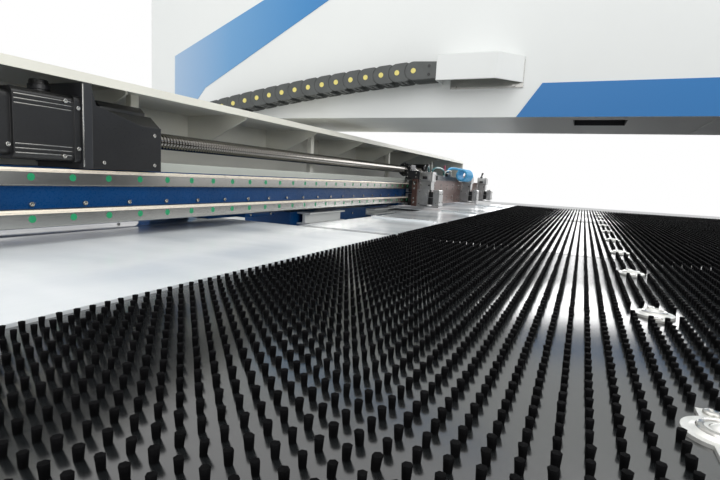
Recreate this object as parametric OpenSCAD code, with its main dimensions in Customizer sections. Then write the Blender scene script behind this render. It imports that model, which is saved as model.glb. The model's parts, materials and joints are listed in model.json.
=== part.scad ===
// Turret punch press: closed frame, brush table, cross beam with carriage and clamps, turrets and ram.
// Built about the punch centre: +x towards the loading end, +y towards the turret, z = 0 on the floor.

/* [Frame] */
// Width of the frame across its side faces
frame_w = 516; // [440:4:560]
// Overall height of the frame
frame_h = 2150; // [2050:10:2300]
// Punch centre to the inner face of the front column
throat_front = 1900; // [1860:5:2000]
// Punch centre to the inner face of the rear column
throat_rear = 1000; // [1000:5:1200]
// Depth of each column along the frame
column_d = 650; // [560:10:720]
// Height of the lower beam's top face
throat_z = 640; // [600:5:660]
// Height of the upper beam's underside
throat_top = 1304; // [1290:2:1400]
// Height of the feet under the frame
foot_h = 60; // [40:5:90]

/* [Table] */
// Height of the brush tips
table_z = 920; // [900:2:924]
// Height of a brush panel, base and tufts
brush_h = 22; // [20:1:30]
// Height of the tufts over the base
tuft_h = 9; // [6:0.5:12]
// Distance between two brush rows
row_pitch = 17.5; // [17.3:0.1:22]
// Width of one brush row
row_w = 6; // [4:0.5:9]
// Front edge of the brush, in front of the punch centre
brush_front = 1084; // [1000:2:1100]
// Rear edge of the brush, behind the punch centre
brush_rear = 300; // [250:2:330]
// Outer ends of the wings from the punch centre
wing_end = 2067; // [2020:1:2080]
// Loading side edge of the centre table
centre_near = 730; // [720:1:740]
// Far side edge of the centre table
centre_far = 588; // [570:1:600]
// Gap between neighbouring panels
panel_gap = 6; // [3:1:10]
// Thickness of the table plates
plate_t = 3; // [2:0.5:5]
// Drop of the plates below the brush tips
plate_drop = 7; // [5:0.5:12]
// Height of the welded table frames
table_frame_h = 62; // [50:2:70]

/* [Turrets] */
// Radius of the turret discs
turret_r = 450; // [448:1:452]
// Radius of the circle of stations
station_r = 400; // [396:1:402]
// Number of tool stations
stations = 24; // [16:2:28]
// Thickness of the upper disc
upper_t = 150; // [130:5:160]
// Thickness of the lower disc
lower_t = 125; // [100:5:135]
// Gap between the two discs
turret_gap = 45; // [40:1:50]
// Diameter of the ram
ram_d = 90; // [80:2:100]
// Stroke of the ram
ram_stroke = 37; // [20:1:38]

/* [Cross beam] */
// Front face of the beam, in front of the punch centre
beam_front = 1549; // [1545:1:1560]
// Depth of the beam
beam_d = 251; // [220:1:260]
// Height of the beam
beam_h = 118; // [116:1:122]
// Clearance of everything that travels over the brush tips
travel_gap = 8; // [6:0.5:12]
// Loading side end of the beam
beam_near = 1700; // [1680:5:1800]
// Far end of the beam
beam_far = 2467; // [2460:1:2500]
// Width of the X rails
rail_w = 34; // [30:1:36]
// Height of the X rails
rail_h = 29; // [26:1:30]
// Distance between the centre lines of the X rails
rail_pitch = 78; // [76:1:79]
// Distance between two rail bolts
cap_pitch = 80; // [80:5:120]
// Diameter of a rail cap
cap_d = 14; // [10:1:18]
// Diameter of the X screw
screw_d = 40; // [36:1:42]
// Pitch of the X screw's thread
screw_pitch = 10; // [8:1:16]
// Size of the X motor across its faces
motor_w = 130; // [110:2:130]
// Height of the beam cover over the beam's top
cover_rise = 186; // [184:1:200]
// Thickness of the cover sheet
cover_t = 3; // [2:0.5:4]
// Far end of the beam cover
cover_far = 1900; // [1800:5:1950]

/* [Carriage] */
// Loading side end of the carriage plate
carriage_near = 630; // [625:1:640]
// Length of the carriage plate
carriage_l = 1790; // [1780:5:1800]
// Thickness of the carriage plate
carriage_t = 30; // [25:1:35]
// Width of a clamp
clamp_w = 80; // [70:1:90]
// Height of a clamp's jaw block
jaw_h = 87; // [80:1:95]
// Opening between the jaws
jaw_gap = 6; // [5:0.5:8]
// Thickness of a clamp's lower jaw
lower_jaw_t = 6; // [5:0.5:8]
// Diameter of a clamp's pivot pin
pin_d = 16; // [12:1:18]

/* [Cable chain] */
// Length of one link, pivot to pivot
link_pitch = 61.5; // [61:0.5:62]
// Height of a link
link_h = 64; // [60:1:66]
// Width of the chain
chain_w = 80; // [70:1:84]
// Thickness of a link's side plates
link_t = 6; // [4:0.5:8]

/* [Hidden] */
$fn = 48;
eps = 0.5;

// Running clearances: round fits, and flat faces that slide past each other
fit = 0.05;
slide_gap = 0.4;
seat = 0.3;

// The whole machine is moved so that its box stands centred on the origin
shift_x = (beam_far - wing_end + panel_gap / 2) / 2;
shift_y = (throat_front - throat_rear) / 2;

// Table levels
panel_z = table_z - brush_h;
brush_base = brush_h - tuft_h;
frame_top = panel_z;
frame_bot = frame_top - table_frame_h;
plate_top = table_z - plate_drop;
seams_near = [182];
seams_far = [1575];
plate_front_wing = beam_front + 101;
plate_front_centre = 1400;
ball_y = -500;
ball_pitch = 345;
ball_first = 1629;
ball_r = 10;
ball_body_r = 20;
turret_clear = 30;

// Turret levels, the punch centre being on the station circle
turret_y = station_r;
pad_t = 3;
lower_top = table_z - 5;
lower_bot = lower_top - lower_t;
upper_bot = lower_top + turret_gap;
upper_top = upper_bot + upper_t;
gear_module = 7;
ring_teeth = 132;
pinion_teeth = 16;
gear_h = 30;
ring_r = gear_module * ring_teeth / 2;
pinion_r = gear_module * pinion_teeth / 2;
line_y = turret_y + ring_r + pinion_r;
line_r = 25;
shaft_r = 80;
bearing_r = 130;
ram_rod_r = 30;
ram_guide_h = 100;
collar_z = upper_top + ram_stroke + 3;
punch_top = collar_z + 12;
punch_tip = lower_top + 2 + ram_stroke - 4;

// Beam levels
beam_y = -beam_front;
beam_bot = table_z + 22;
beam_top = beam_bot + beam_h;
carry_z = table_z + travel_gap;
rail_top_z = beam_top - 19;
rail_low_z = rail_top_z - rail_pitch;
rail_face = beam_y + rail_h;
block_h = 55;
block_face = beam_y + block_h;
plate_face = block_face + carriage_t;
screw_y = beam_y - 26;
screw_z = beam_top + 75;
screw_r = screw_d / 2;
journal_r = 15;
housing_near = 1343;
housing_l = 173;
housing_far = housing_near - housing_l;
housing_front = beam_y + 44;
end_bearing_x = -1030;
strip_h = 22;
strip_d = 30;

// Y slides: rail lines and screw lines, mirrored to both sides of the frame
base_z = 740;
y_rail_w = 45;
y_rail_h = 38;
y_block_h = 60;
y_rail_x = 825;
y_screw_x = 900;
slide_x0 = 780;
slide_x1 = 940;
y_outer_x = wing_end - 82;
y_rail_y0 = beam_y - beam_d - 10;
y_rail_y1 = 1500;
y_block_y0 = beam_y - beam_d + 80;
y_block_y1 = brush_rear - 150;
slide_y1 = brush_rear - 50;
y_screw_r = 16;
y_screw_z = base_z + 30;
slide_bot = base_z + y_block_h;
outer_base_z = frame_bot - y_block_h;
stand_legs = [for (k = [0 : 3]) y_rail_y0 + 60 + k * (y_rail_y1 - y_rail_y0 - 120) / 3];

// Clamp places: the loading side face of each
clamp_inset = 12;
clamp_end = 128;
clamp_step = 600;
carriage_far = carriage_near + carriage_l;
clamp_x = [-carriage_near - clamp_inset, clamp_end + clamp_step - carriage_far, clamp_end - carriage_far];
base_d = 66;
slot_d = 29;
jaw_d = 34;
jaw_z = carry_z - 2 + lower_jaw_t + jaw_gap;
clamp_top = jaw_z + jaw_h;
pin_y = plate_face + base_d - 19;
pin_z = clamp_top - 28;

// Cable chain: the end at the box, and the middle line of its run in front of the frame
chain_x = frame_w / 2 + 10;
box_x = frame_w / 2 + 90;
box_y0 = -1103;
box_y1 = -899;
box_z = 1419;
box_h = 85;

module place() translate([shift_x, shift_y, 0]) children();
// A profile drawn in y and z, run along x
module along_x(x0, x1) translate([x0, 0, 0]) rotate([90, 0, 90]) linear_extrude(x1 - x0) children();
// A profile drawn in x and z, run along y
module along_y(y0, y1) translate([0, y1, 0]) rotate([90, 0, 0]) linear_extrude(y1 - y0) children();
module box(x0, x1, y0, y1, z0, z1)
    translate([min(x0, x1), min(y0, y1), min(z0, z1)]) cube([abs(x1 - x0), abs(y1 - y0), abs(z1 - z0)]);
module cyl_x(x0, x1, y, z, r) translate([x0, y, z]) rotate([0, 90, 0]) cylinder(h = x1 - x0, r = r);
module cyl_y(y0, y1, x, z, r) translate([x, y0, z]) rotate([-90, 0, 0]) cylinder(h = y1 - y0, r = r);
module cyl_z(z0, z1, x, y, r) translate([x, y, z0]) cylinder(h = z1 - z0, r = r);
module both_sides() { children(); mirror([1, 0, 0]) children(); }
module round_rect(x0, x1, y0, y1, r) {
    translate([x0 + r, y0]) square([x1 - x0 - 2 * r, y1 - y0]);
    translate([x0, y0 + r]) square([x1 - x0, y1 - y0 - 2 * r]);
    for (x = [x0 + r, x1 - r], y = [y0 + r, y1 - r]) translate([x, y]) circle(r);
}

// Section of a profile rail standing on y = 0, grown by c for the runner's groove
module rail_section(w, h, c = 0) {
    a = w / 2 + c;
    b = w * 0.37 + c;
    polygon([[-a, -c], [a, -c], [a, h * 0.34], [b, h * 0.5 - c], [b, h * 0.62], [a, h * 0.78 - c],
        [a, h * 0.92], [a - h * 0.08, h + c], [-a + h * 0.08, h + c], [-a, h * 0.92], [-a, h * 0.78 - c],
        [-b, h * 0.62], [-b, h * 0.5 - c], [-a, h * 0.34]]);
}
module block_section(w, h, rw, rh) difference() {
    translate([-w / 2, h * 0.13]) square([w, h * 0.87]);
    rail_section(rw, rh, slide_gap);
}

// Frame
module frame_profile() {
    y0 = -throat_front - column_d;
    y1 = throat_rear + column_d;
    corner = 140;
    difference() {
        polygon([[y0, foot_h], [y1, foot_h], [y1, frame_h - corner], [y1 - corner, frame_h],
            [y0 + corner, frame_h], [y0, frame_h - corner]]);
        round_rect(-throat_front, throat_rear, throat_z, throat_top, 30);
    }
}
module frame() color("white") place() difference() {
    union() {
        along_x(-frame_w / 2, frame_w / 2) frame_profile();
        // Welded pad that the turret and ram bearings are bolted to
        box(-212, 212, -260, throat_rear - 35, throat_top - pad_t, throat_top + eps);
    }
    // Slot in the underside of the upper beam
    box(30, 188, -658, -492, throat_top - 1, throat_top + 180);
    // Passages for the ram rod and the turret line shaft
    cyl_z(throat_top - 30, frame_h + 1, 0, 0, ram_rod_r + 3);
    cyl_z(throat_top - 30, frame_h + 1, 0, line_y, line_r + 3);
}
module stripe_shapes() {
    y_out = -throat_front - 498;
    polygon([[y_out, 700], [y_out + 138, 700], [y_out + 138, 1390], [y_out + 185, 1442], [y_out + 811, 1760],
        [y_out + 1540, frame_h], [y_out + 1395, frame_h], [y_out + 501, 1791], [y_out, 1591]]);
    polygon([[-836, throat_top + 1], [-761, throat_top + 112], [throat_rear + 110, throat_top + 112],
        [throat_rear + 35, throat_top + 1]]);
}
module side_stripes() color("steelblue") place() both_sides()
    along_x(frame_w / 2, frame_w / 2 + 2) stripe_shapes();
module levelling_feet() color("dimgray") place()
    for (x = [68 - frame_w / 2, frame_w / 2 - 68], y = [-throat_front - column_d + 90, -throat_front - 90, throat_rear + 90,
            throat_rear + column_d - 90]) {
        cyl_z(0, 20, x, y, 70);
        cyl_z(20, foot_h, x, y, 18);
    }

// Terminal box on the near side face, open below
module box_plan(t) polygon([[box_y0 + t, 0], [box_y0 + t, box_x - frame_w / 2 - 4 - t],
    [box_y1 - t, box_x - frame_w / 2 - 4 - t], [box_y1 + 76 - t, 0]]);
module terminal_box() color("white") place() difference() {
    translate([frame_w / 2 + 4, 0, box_z]) rotate([0, 0, 90]) mirror([0, 1, 0])
        linear_extrude(box_h) box_plan(0);
    translate([frame_w / 2 + 3, 0, box_z - 1]) rotate([0, 0, 90]) mirror([0, 1, 0])
        linear_extrude(box_h - 2) box_plan(3);
}
module box_plate() color("silver") place() {
    box(frame_w / 2, frame_w / 2 + 4, box_y0 + 30, box_y1 + 77, box_z - 16, box_z + box_h - 10);
    for (y = [box_y0 + 48, box_y1 + 46]) cyl_x(frame_w / 2 + 4, frame_w / 2 + 10, y, box_z - 8, 5.5);
}

// Ram, its guide and its cylinder
module ram_guide() color("dimgray") place() difference() {
    union() {
        box(-95, 95, -95, 95, throat_top - 20 - ram_guide_h, throat_top - pad_t);
        box(-150, 150, -150, 150, throat_top - 34, throat_top - pad_t);
    }
    cyl_z(0, frame_h, 0, 0, ram_d / 2 + fit);
}
module ram() color("silver") place() {
    cyl_z(punch_top + 13, throat_top - 60, 0, 0, ram_d / 2);
    cyl_z(throat_top - 60, frame_h + 60, 0, 0, ram_rod_r);
    cyl_z(punch_top + 1, punch_top + 13, 0, 0, ram_d / 2 - 8);
}
module hydraulic_cylinder() color("dimgray") place() difference() {
    union() {
        box(-130, 130, -130, 130, frame_h, frame_h + 40);
        cyl_z(frame_h + 40, frame_h + 250, 0, 0, 95);
        box(-80, 80, -80, 80, frame_h + 250, frame_h + 290);
        box(60, 150, -45, 45, frame_h + 90, frame_h + 190);
    }
    cyl_z(frame_h - 1, frame_h + 220, 0, 0, ram_rod_r + fit);
}

// Turrets
function gear_points(n, r, h_out, h_in, fill) = [for (i = [0 : n - 1], k = [0 : 3])
    let (a = 360 / n * (i + (k == 0 ? -0.34 : k == 1 ? -0.15 : k == 2 ? 0.15 : 0.34) * fill),
        q = (k == 0 || k == 3) ? r - h_in : r + h_out)
    [q * cos(a), q * sin(a)]];
module gear(n, r) polygon(gear_points(n, r, gear_module * 0.8, gear_module * 1.1, 0.88));
module turret_disc(z0, z1) difference() {
    union() {
        translate([0, turret_y, z0]) cylinder(h = z1 - z0, r = turret_r - 4, $fn = 120);
    }
    for (i = [0 : stations - 1]) turret_station(i)
        translate([0, 0, z0 - 1]) cylinder(h = z1 - z0 + 2, r = tool_r(i) + fit);
}
function tool_r(i) = i % 3 == 0 ? 38 : 24;
module turret_station(i)
    translate([0, turret_y, 0]) rotate([0, 0, 360 / stations * i - 90]) translate([station_r, 0, 0]) children();
module upper_turret() color("gainsboro") place() {
    upper_disc();
    turret_hub(upper_top - 8 + seat, throat_top - 26 - slide_gap);
}
module upper_disc() difference() {
    union() {
        turret_disc(upper_bot, upper_top - gear_h);
        translate([0, turret_y, upper_top - gear_h]) linear_extrude(gear_h) difference() {
            gear(ring_teeth, ring_r);
            circle(turret_r - 110, $fn = 120);
        }
        translate([0, turret_y, upper_top - gear_h]) cylinder(h = gear_h - 8, r = turret_r - 100, $fn = 120);
    }
    for (i = [0 : stations - 1]) turret_station(i)
        translate([0, 0, upper_bot - 1]) cylinder(h = upper_t + 2, r = tool_r(i) + fit);
}
module turret_hub(z0, z1) cyl_z(z0, z1, 0, turret_y, shaft_r);
module lower_turret() color("gainsboro") place() {
    lower_disc();
    turret_hub(throat_z + 26, lower_bot - seat);
}
module lower_disc() difference() {
    union() {
        turret_disc(lower_bot + gear_h, lower_top);
        translate([0, turret_y, lower_bot]) linear_extrude(gear_h) gear(ring_teeth, ring_r);
    }
    for (i = [0 : stations - 1]) turret_station(i)
        translate([0, 0, lower_bot - 1]) cylinder(h = lower_t + 2, r = tool_r(i) + fit);
}
// A punch: a long guide in the disc, a collar that stays above it at full stroke, and a narrow tip below
module punch(i) turret_station(i) {
    translate([0, 0, upper_bot + 6]) cylinder(h = collar_z - upper_bot - 6 + eps, r = tool_r(i));
    translate([0, 0, collar_z]) cylinder(h = 12, r = tool_r(i) + 6);
    translate([0, 0, punch_tip]) cylinder(h = upper_bot + 7 - punch_tip, r = tool_r(i) * 0.4);
}
// The stations a quarter and a half turn from the struck punch are empty
module punch_tools() color("darkgray") place() for (i = [1 : stations - 1]) if (4 * i % stations != 0) punch(i);
module struck_punch() color("darkgray") place() punch(0);
module die_tools() color("darkgray") place() for (i = [0 : stations - 1]) turret_station(i) difference() {
    union() {
        translate([0, 0, lower_top - 40]) cylinder(h = 40, r = tool_r(i));
        translate([0, 0, lower_top]) cylinder(h = 2, r = tool_r(i) + 4);
    }
    translate([0, 0, lower_top - 41]) cylinder(h = 44, r = tool_r(i) * 0.45);
}
module turret_bearings() color("dimgray") place() {
    difference() {
        cyl_z(throat_top - 110, throat_top - pad_t, 0, turret_y, bearing_r);
        cyl_z(throat_top - 111, throat_top - 26, 0, turret_y, shaft_r + fit);
    }
    difference() {
        cyl_z(throat_z, throat_z + 110, 0, turret_y, bearing_r);
        cyl_z(throat_z + 26, throat_z + 111, 0, turret_y, shaft_r + fit);
    }
}
module line_shaft() color("silver") place() {
    cyl_z(throat_z + 6, frame_h + 30, 0, line_y, line_r);
    for (z = [lower_bot, upper_top - gear_h]) translate([0, line_y, z]) rotate([0, 0, 180 / pinion_teeth])
        linear_extrude(gear_h) gear(pinion_teeth, pinion_r);
}
module turret_motor() color("black") place() {
    difference() {
        union() {
            box(-75, 75, line_y - 75, line_y + 75, frame_h, frame_h + 110);
            box(-65, 65, line_y - 65, line_y + 65, frame_h + 110, frame_h + 300);
        }
        cyl_z(frame_h - 1, frame_h + 60, 0, line_y, line_r + fit);
    }
    difference() {
        cyl_z(throat_z, throat_z + 60, 0, line_y, 45);
        cyl_z(throat_z + 6, throat_z + 61, 0, line_y, line_r + fit);
    }
}

// Welded table frame: a grid of tubes with open cells
tube = 60;
module table_grid(x0, x1, y0, y1, nx, ny) {
    cell_x = (x1 - x0 - tube) / nx;
    cell_y = (y1 - y0 - tube) / ny;
    difference() {
        box(x0, x1, y0, y1, frame_bot, frame_top);
        for (i = [0 : nx - 1], j = [0 : ny - 1])
            box(x0 + tube + i * cell_x, x0 + (i + 1) * cell_x, y0 + tube + j * cell_y, y0 + (j + 1) * cell_y,
                frame_bot - 1, frame_top + 1);
    }
}
module turret_hole() cyl_z(0, frame_h, 0, turret_y, ring_r + gear_module + turret_clear);
module centre_table() color("white") place() {
    difference() {
        table_grid(-centre_far + panel_gap / 2, centre_near - panel_gap / 2, -plate_front_centre, brush_rear, 4, 5);
        box(-510, 510, turret_y - 510, brush_rear + 1, frame_bot - 1, frame_top + 1);
    }
    // Bearers on the frame, each under a cross tube
    for (j = [1, 3]) let (y = -plate_front_centre + j * (brush_rear + plate_front_centre - tube) / 5)
        box(-frame_w / 2 + 10, frame_w / 2 - 10, y, y + tube, throat_z, frame_bot + eps);
}

// Brush panel: a base plate with a comb of rows on it
function comb_points(y0, y1) = let (n = floor((y1 - y0) / row_pitch), m = (y1 - y0 - n * row_pitch) / 2)
    [for (i = [0 : n - 1]) y0 + m + (i + 0.5) * row_pitch];
module panel(x0, x1) {
    difference() {
        box(x0 + panel_gap / 2, x1 - panel_gap / 2, -brush_front, brush_rear, panel_z, panel_z + brush_base);
        for (x = ball_places(x0, x1)) cyl_z(panel_z - 1, table_z + 1, x, ball_y, ball_body_r + 0.3);
    }
    difference() {
        for (y = comb_points(-brush_front, brush_rear))
            box(x0 + panel_gap / 2 + 1, x1 - panel_gap / 2 - 1, y - row_w / 2, y + row_w / 2,
                panel_z + brush_base - eps, table_z);
        for (x = ball_places(x0, x1)) cyl_z(panel_z, table_z + 1, x, ball_y, 44);
    }
}
function ball_places(x0, x1) = [for (i = [0 : 11]) let (x = ball_first - i * ball_pitch)
    if (x > x0 + 60 && x < x1 - 60) x];
centre_seams = [-centre_far, seams_near[0], centre_near];
far_seams = [-wing_end, -seams_far[0], -centre_far];
module centre_brushes() color("black") place() difference() {
    for (i = [0, 1]) panel(centre_seams[i], centre_seams[i + 1]);
    turret_hole();
}
module wing_brushes() color("black") place() {
    panel(centre_near, wing_end);
    for (i = [0, 1]) panel(far_seams[i], far_seams[i + 1]);
}
// Ball unit: body in the panel, two-eared flange on it, dome over the cage and the ball at table height
module ball_unit(x) translate([x, ball_y, panel_z + brush_base]) {
    ball_z = tuft_h - ball_r;
    difference() {
        union() {
            translate([0, 0, 1 - brush_base]) cylinder(h = brush_base, r = ball_body_r);
            linear_extrude(3) {
                circle(ball_body_r + 4);
                polygon([[-38, -9], [38, -9], [38, 9], [-38, 9]]);
            }
            translate([0, 0, 2.5]) cylinder(h = tuft_h - 5.5, r1 = ball_body_r, r2 = ball_r + 4);
        }
        translate([0, 0, ball_z]) sphere(ball_r + slide_gap);
        for (s = [-31, 31]) translate([s, 0, -1]) cylinder(h = 6, r = 3);
    }
    translate([0, 0, ball_z]) sphere(ball_r);
}
module centre_ball_units() color("silver") place() {
    for (x = ball_places(-centre_far, seams_near[0])) ball_unit(x);
    for (x = ball_places(seams_near[0], centre_near)) ball_unit(x);
}
module wing_ball_units() color("silver") place() {
    for (x = ball_places(centre_near, wing_end)) ball_unit(x);
    for (x = ball_places(-seams_far[0], -centre_far)) ball_unit(x);
    for (x = ball_places(-wing_end, -seams_far[0])) ball_unit(x);
}

// Table plate: a sheet folded down at both long edges, resting on the table frame
module table_plate(x0, x1, y_front) {
    y1 = -brush_front - 6;
    y0 = -y_front;
    along_x(x0 + panel_gap / 2, x1 - panel_gap / 2) polygon([[y0, frame_top], [y0, plate_top], [y1, plate_top],
        [y1, frame_top], [y1 - plate_t, frame_top], [y1 - plate_t, plate_top - plate_t],
        [y0 + plate_t, plate_top - plate_t], [y0 + plate_t, frame_top]]);
}
// Steel bar that joins two plates over their seam, with two counterbored screws
module seam_bar(x, l) difference() {
    box(x - 18, x + 18, -brush_front - 30 - l, -brush_front - 30, plate_top, plate_top + 7);
    for (y = [-brush_front - 60, -brush_front - 130]) cyl_z(plate_top + 3, plate_top + 8, x, y, 9);
}
module centre_plates() color("whitesmoke") place() {
    table_plate(-centre_far, seams_near[0], plate_front_centre);
    table_plate(seams_near[0], centre_near, plate_front_centre);
    seam_bar(seams_near[0], 266);
}
module wing_plates() color("whitesmoke") place() {
    table_plate(centre_near, wing_end, plate_front_wing);
    table_plate(-seams_far[0], -centre_far, plate_front_wing);
    table_plate(-wing_end, -seams_far[0], plate_front_wing);
    seam_bar(-seams_far[0], 190);
    seam_bar(-centre_far - panel_gap - 21, 190);
}
module wing_frames() color("white") place() {
    table_grid(centre_near + panel_gap / 2, wing_end - panel_gap / 2, -plate_front_wing - 5, brush_rear, 4, 5);
    table_grid(-wing_end + panel_gap / 2, -centre_far - panel_gap / 2, -plate_front_wing - 5, brush_rear, 4, 5);
}

// Y bases, rails, slides and screws
// Inner bases tied to the frame's columns, and outer stands on legs; each tie and leg lies at its seat
module y_bases() color("steelblue") place() both_sides() {
    box(slide_x0, slide_x1, y_rail_y0, y_rail_y1, 0, base_z);
    for (y = [-throat_front + 90, throat_rear + 200])
        box(frame_w / 2 + seat, slide_x0 - seat, y - 60, y + 60, 180, 320);
    box(y_outer_x - 40, y_outer_x + 40, y_rail_y0, y_rail_y1, outer_base_z - 120, outer_base_z);
    for (y = stand_legs) box(y_outer_x - 40, y_outer_x + 40, y - 50, y + 50, 0, outer_base_z - 120 - seat);
    for (y = [stand_legs[0], stand_legs[3]]) box(slide_x1 + seat, y_outer_x - 40 - seat, y - 40, y + 40, 60, 140);
}
module y_rails() color("silver") place() both_sides() {
    along_y(y_rail_y0, y_rail_y1) translate([y_rail_x, base_z]) rail_section(y_rail_w, y_rail_h);
    along_y(y_rail_y0, y_rail_y1) translate([y_outer_x, outer_base_z]) rail_section(y_rail_w, y_rail_h);
}
module y_blocks() color("dimgray") place() both_sides() {
    for (k = [0 : 3]) let (y = y_block_y0 + k * (y_block_y1 - y_block_y0) / 3) along_y(y - 65, y + 65) translate([y_rail_x, base_z])
        block_section(86, y_block_h, y_rail_w, y_rail_h);
    for (k = [0 : 2]) let (y = y_block_y0 + 250 + k * (y_block_y1 - y_block_y0 - 250) / 2) along_y(y - 65, y + 65) translate([y_outer_x, outer_base_z])
        block_section(86, y_block_h, y_rail_w, y_rail_h);
}
module y_slides() color("steelblue") place() both_sides() {
    box(slide_x0, slide_x1, beam_y - beam_d, slide_y1, slide_bot, frame_bot);
    // Upright bolted to the beam's back, above the motor
    box(slide_x0, slide_x1, beam_y - beam_d, -plate_front_wing - 12, frame_bot - eps, frame_top);
    box(slide_x0, slide_x1, beam_y - beam_d - 50, beam_y - beam_d, frame_bot + 12, beam_top - 70);
    box(slide_x0, slide_x1, beam_y - beam_d - 50, beam_y - beam_d + eps, frame_bot + 12, frame_top);
    difference() {
        box(y_screw_x - 28, y_screw_x + 28, -1500, -1420, y_screw_z - 26, slide_bot + eps);
        cyl_y(-1501, -1419, y_screw_x, y_screw_z, y_screw_r + fit);
    }
}
y_screw_y0 = y_rail_y0 - 60;
module y_screw(x) {
    cyl_y(y_rail_y0 + 120, y_rail_y1 - 60, x, y_screw_z, y_screw_r);
    cyl_y(y_screw_y0, y_rail_y0 + 121, x, y_screw_z, 12);
    cyl_y(y_rail_y1 - 61, y_rail_y1 - 15, x, y_screw_z, 12);
}
module y_screw_near() color("silver") place() y_screw(y_screw_x);
module y_screw_far() color("silver") place() y_screw(-y_screw_x);
// Drive of each Y screw: a bearing at each end and a motor behind the base
module y_bearings() color("black") place() both_sides() for (y = [y_rail_y0 + 40, y_rail_y1 - 60]) difference() {
    box(y_screw_x - 29, y_screw_x + 29, y, y + 45, base_z, slide_bot - 4);
    cyl_y(y - 1, y + 46, y_screw_x, y_screw_z, 12 + fit);
}
module y_motors() color("black") place() both_sides() y_motor();
module y_motor() difference() {
    union() {
        box(y_screw_x - 65, y_screw_x + 65, y_rail_y0 - 15, y_rail_y0, y_screw_z - 65, y_screw_z + 65);
        box(y_screw_x - 60, y_screw_x + 60, y_rail_y0 - 150, y_rail_y0 - 15, y_screw_z - 60, y_screw_z + 60);
        box(y_screw_x - 48, y_screw_x + 48, y_rail_y0 - 200, y_rail_y0 - 150, y_screw_z - 48, y_screw_z + 48);
    }
    cyl_y(y_screw_y0 - 2, y_rail_y0 + 1, y_screw_x, y_screw_z, 12 + fit);
}

// Fixed blue member under the beam's rest place, and the steel brackets on it
cross_z0 = table_z - 47;
cross_y1 = beam_y - 63;
module rear_cross_beam() color("steelblue") place() {
    box(18 - centre_far, centre_near - 282, cross_y1 - 213, cross_y1, cross_z0, beam_bot - 15);
    for (x = [-150, 150]) box(x - 50, x + 50, cross_y1 - 160, cross_y1 - 60, throat_z, cross_z0);
}
module table_brackets() color("white") place() {
    z0 = table_z - 42;
    z1 = beam_bot - 16;
    y1 = beam_y - 4;
    t = 7;
    along_x(centre_near - 633, centre_near - 333) polygon([[cross_y1, z0], [y1, z0], [y1, z0 + t], [y1 - 22, z0 + t], [y1 - 22, z1 - t],
        [y1, z1 - t], [y1, z1], [cross_y1, z1], [cross_y1, z1 - t], [y1 - 34, z1 - t], [y1 - 34, z0 + t],
        [cross_y1, z0 + t]]);
    along_x(28 - centre_far, 326 - centre_far) polygon([[cross_y1, z0 + 8], [y1 - 8, z0 + 8], [y1 - 8, z0 + 8 + t],
        [cross_y1 + t, z0 + 8 + t], [cross_y1 + t, z1 - 8 - t], [y1 - 8, z1 - 8 - t], [y1 - 8, z1 - 8],
        [cross_y1, z1 - 8]]);
}

// Cross beam
module x_beam() color("steelblue") place() box(-beam_far, beam_near, beam_y - beam_d, beam_y, beam_bot, beam_top);
module light_strip() color("whitesmoke") place()
    box(-cover_far + 40, housing_far, beam_y - strip_d, beam_y, beam_top, beam_top + strip_h);
module x_rails() color("silver") place() for (z = [rail_top_z, rail_low_z])
    along_x(-beam_far + 17, beam_near - 10) translate([beam_y, z]) rotate(-90) rail_section(rail_w, rail_h);
cap_first = 1456;
module rail_caps() color("seagreen") place()
    for (z = [rail_top_z, rail_low_z], i = [-2 : floor((cap_first + beam_far - 60) / cap_pitch)])
        cyl_y(rail_face, rail_face + 0.2, cap_first - i * cap_pitch, z, cap_d / 2);

// Cover over the screw: front lip, roof and back wall, with gussets and posts
module beam_cover() color("gainsboro") place() {
    y0 = beam_y - beam_d - cover_t;
    y1 = housing_front;
    z1 = beam_top + cover_rise;
    along_x(-cover_far, beam_near) polygon([[y1, z1 - 18], [y1, z1], [y0, z1], [y0, beam_top - 60],
        [y0 + cover_t, beam_top - 60], [y0 + cover_t, z1 - cover_t], [y1 - cover_t, z1 - cover_t],
        [y1 - cover_t, z1 - 18]]);
    for (i = [0 : 8]) along_x(1640 - i * 430, 1646 - i * 430) polygon([[y0 + cover_t - 0.2, z1 - cover_t + 0.2],
        [y0 + cover_t - 0.2, z1 - 120], [y0 + 18, z1 - 120], [y1 - 60, z1 - cover_t - 12],
        [y1 - 60, z1 - cover_t + 0.2]]);
    for (i = [0 : 3]) box(1130 - i * 860, 1153 - i * 860, screw_y - 66, screw_y - 48, beam_top, z1 - cover_t + 0.2);
}

// X drive
module motor_body(x0, x1, w, r) along_x(x0, x1) translate([screw_y, screw_z]) round_rect(-w / 2, w / 2, -w / 2, w / 2, r);
module x_motor() color("black") place() difference() {
    union() {
        motor_body(housing_near + 20, housing_near + 34, motor_w, 10);
        motor_body(housing_near + 34, housing_near + 145, motor_w - 4, 14);
        motor_body(housing_near + 145, housing_near + 205, motor_w - 18, 12);
        for (x = [housing_near + 60, housing_near + 165])
            cyl_z(screw_z + motor_w / 2 - 12, screw_z + motor_w / 2 + 22, x, screw_y, 17);
    }
    for (s = [-1, 1], t = [-1, 1], k = [0 : 2])
        box(housing_near + 36, housing_near + 143, screw_y + s * (motor_w / 2 - 5), screw_y + s * (motor_w / 2 + 1),
            screw_z + t * (motor_w / 2 - 14 - k * 8) - 1.5, screw_z + t * (motor_w / 2 - 14 - k * 8) + 1.5);
    cyl_x(housing_near + 19, housing_near + 60, screw_y, screw_z, journal_r + fit);
}
module x_motor_plate() color("dimgray") place() difference() {
    box(housing_near, housing_near + 20, screw_y - 75, housing_front, beam_top, screw_z + 92);
    cyl_x(housing_near - 1, housing_near + 21, screw_y, screw_z, 34);
}
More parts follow.
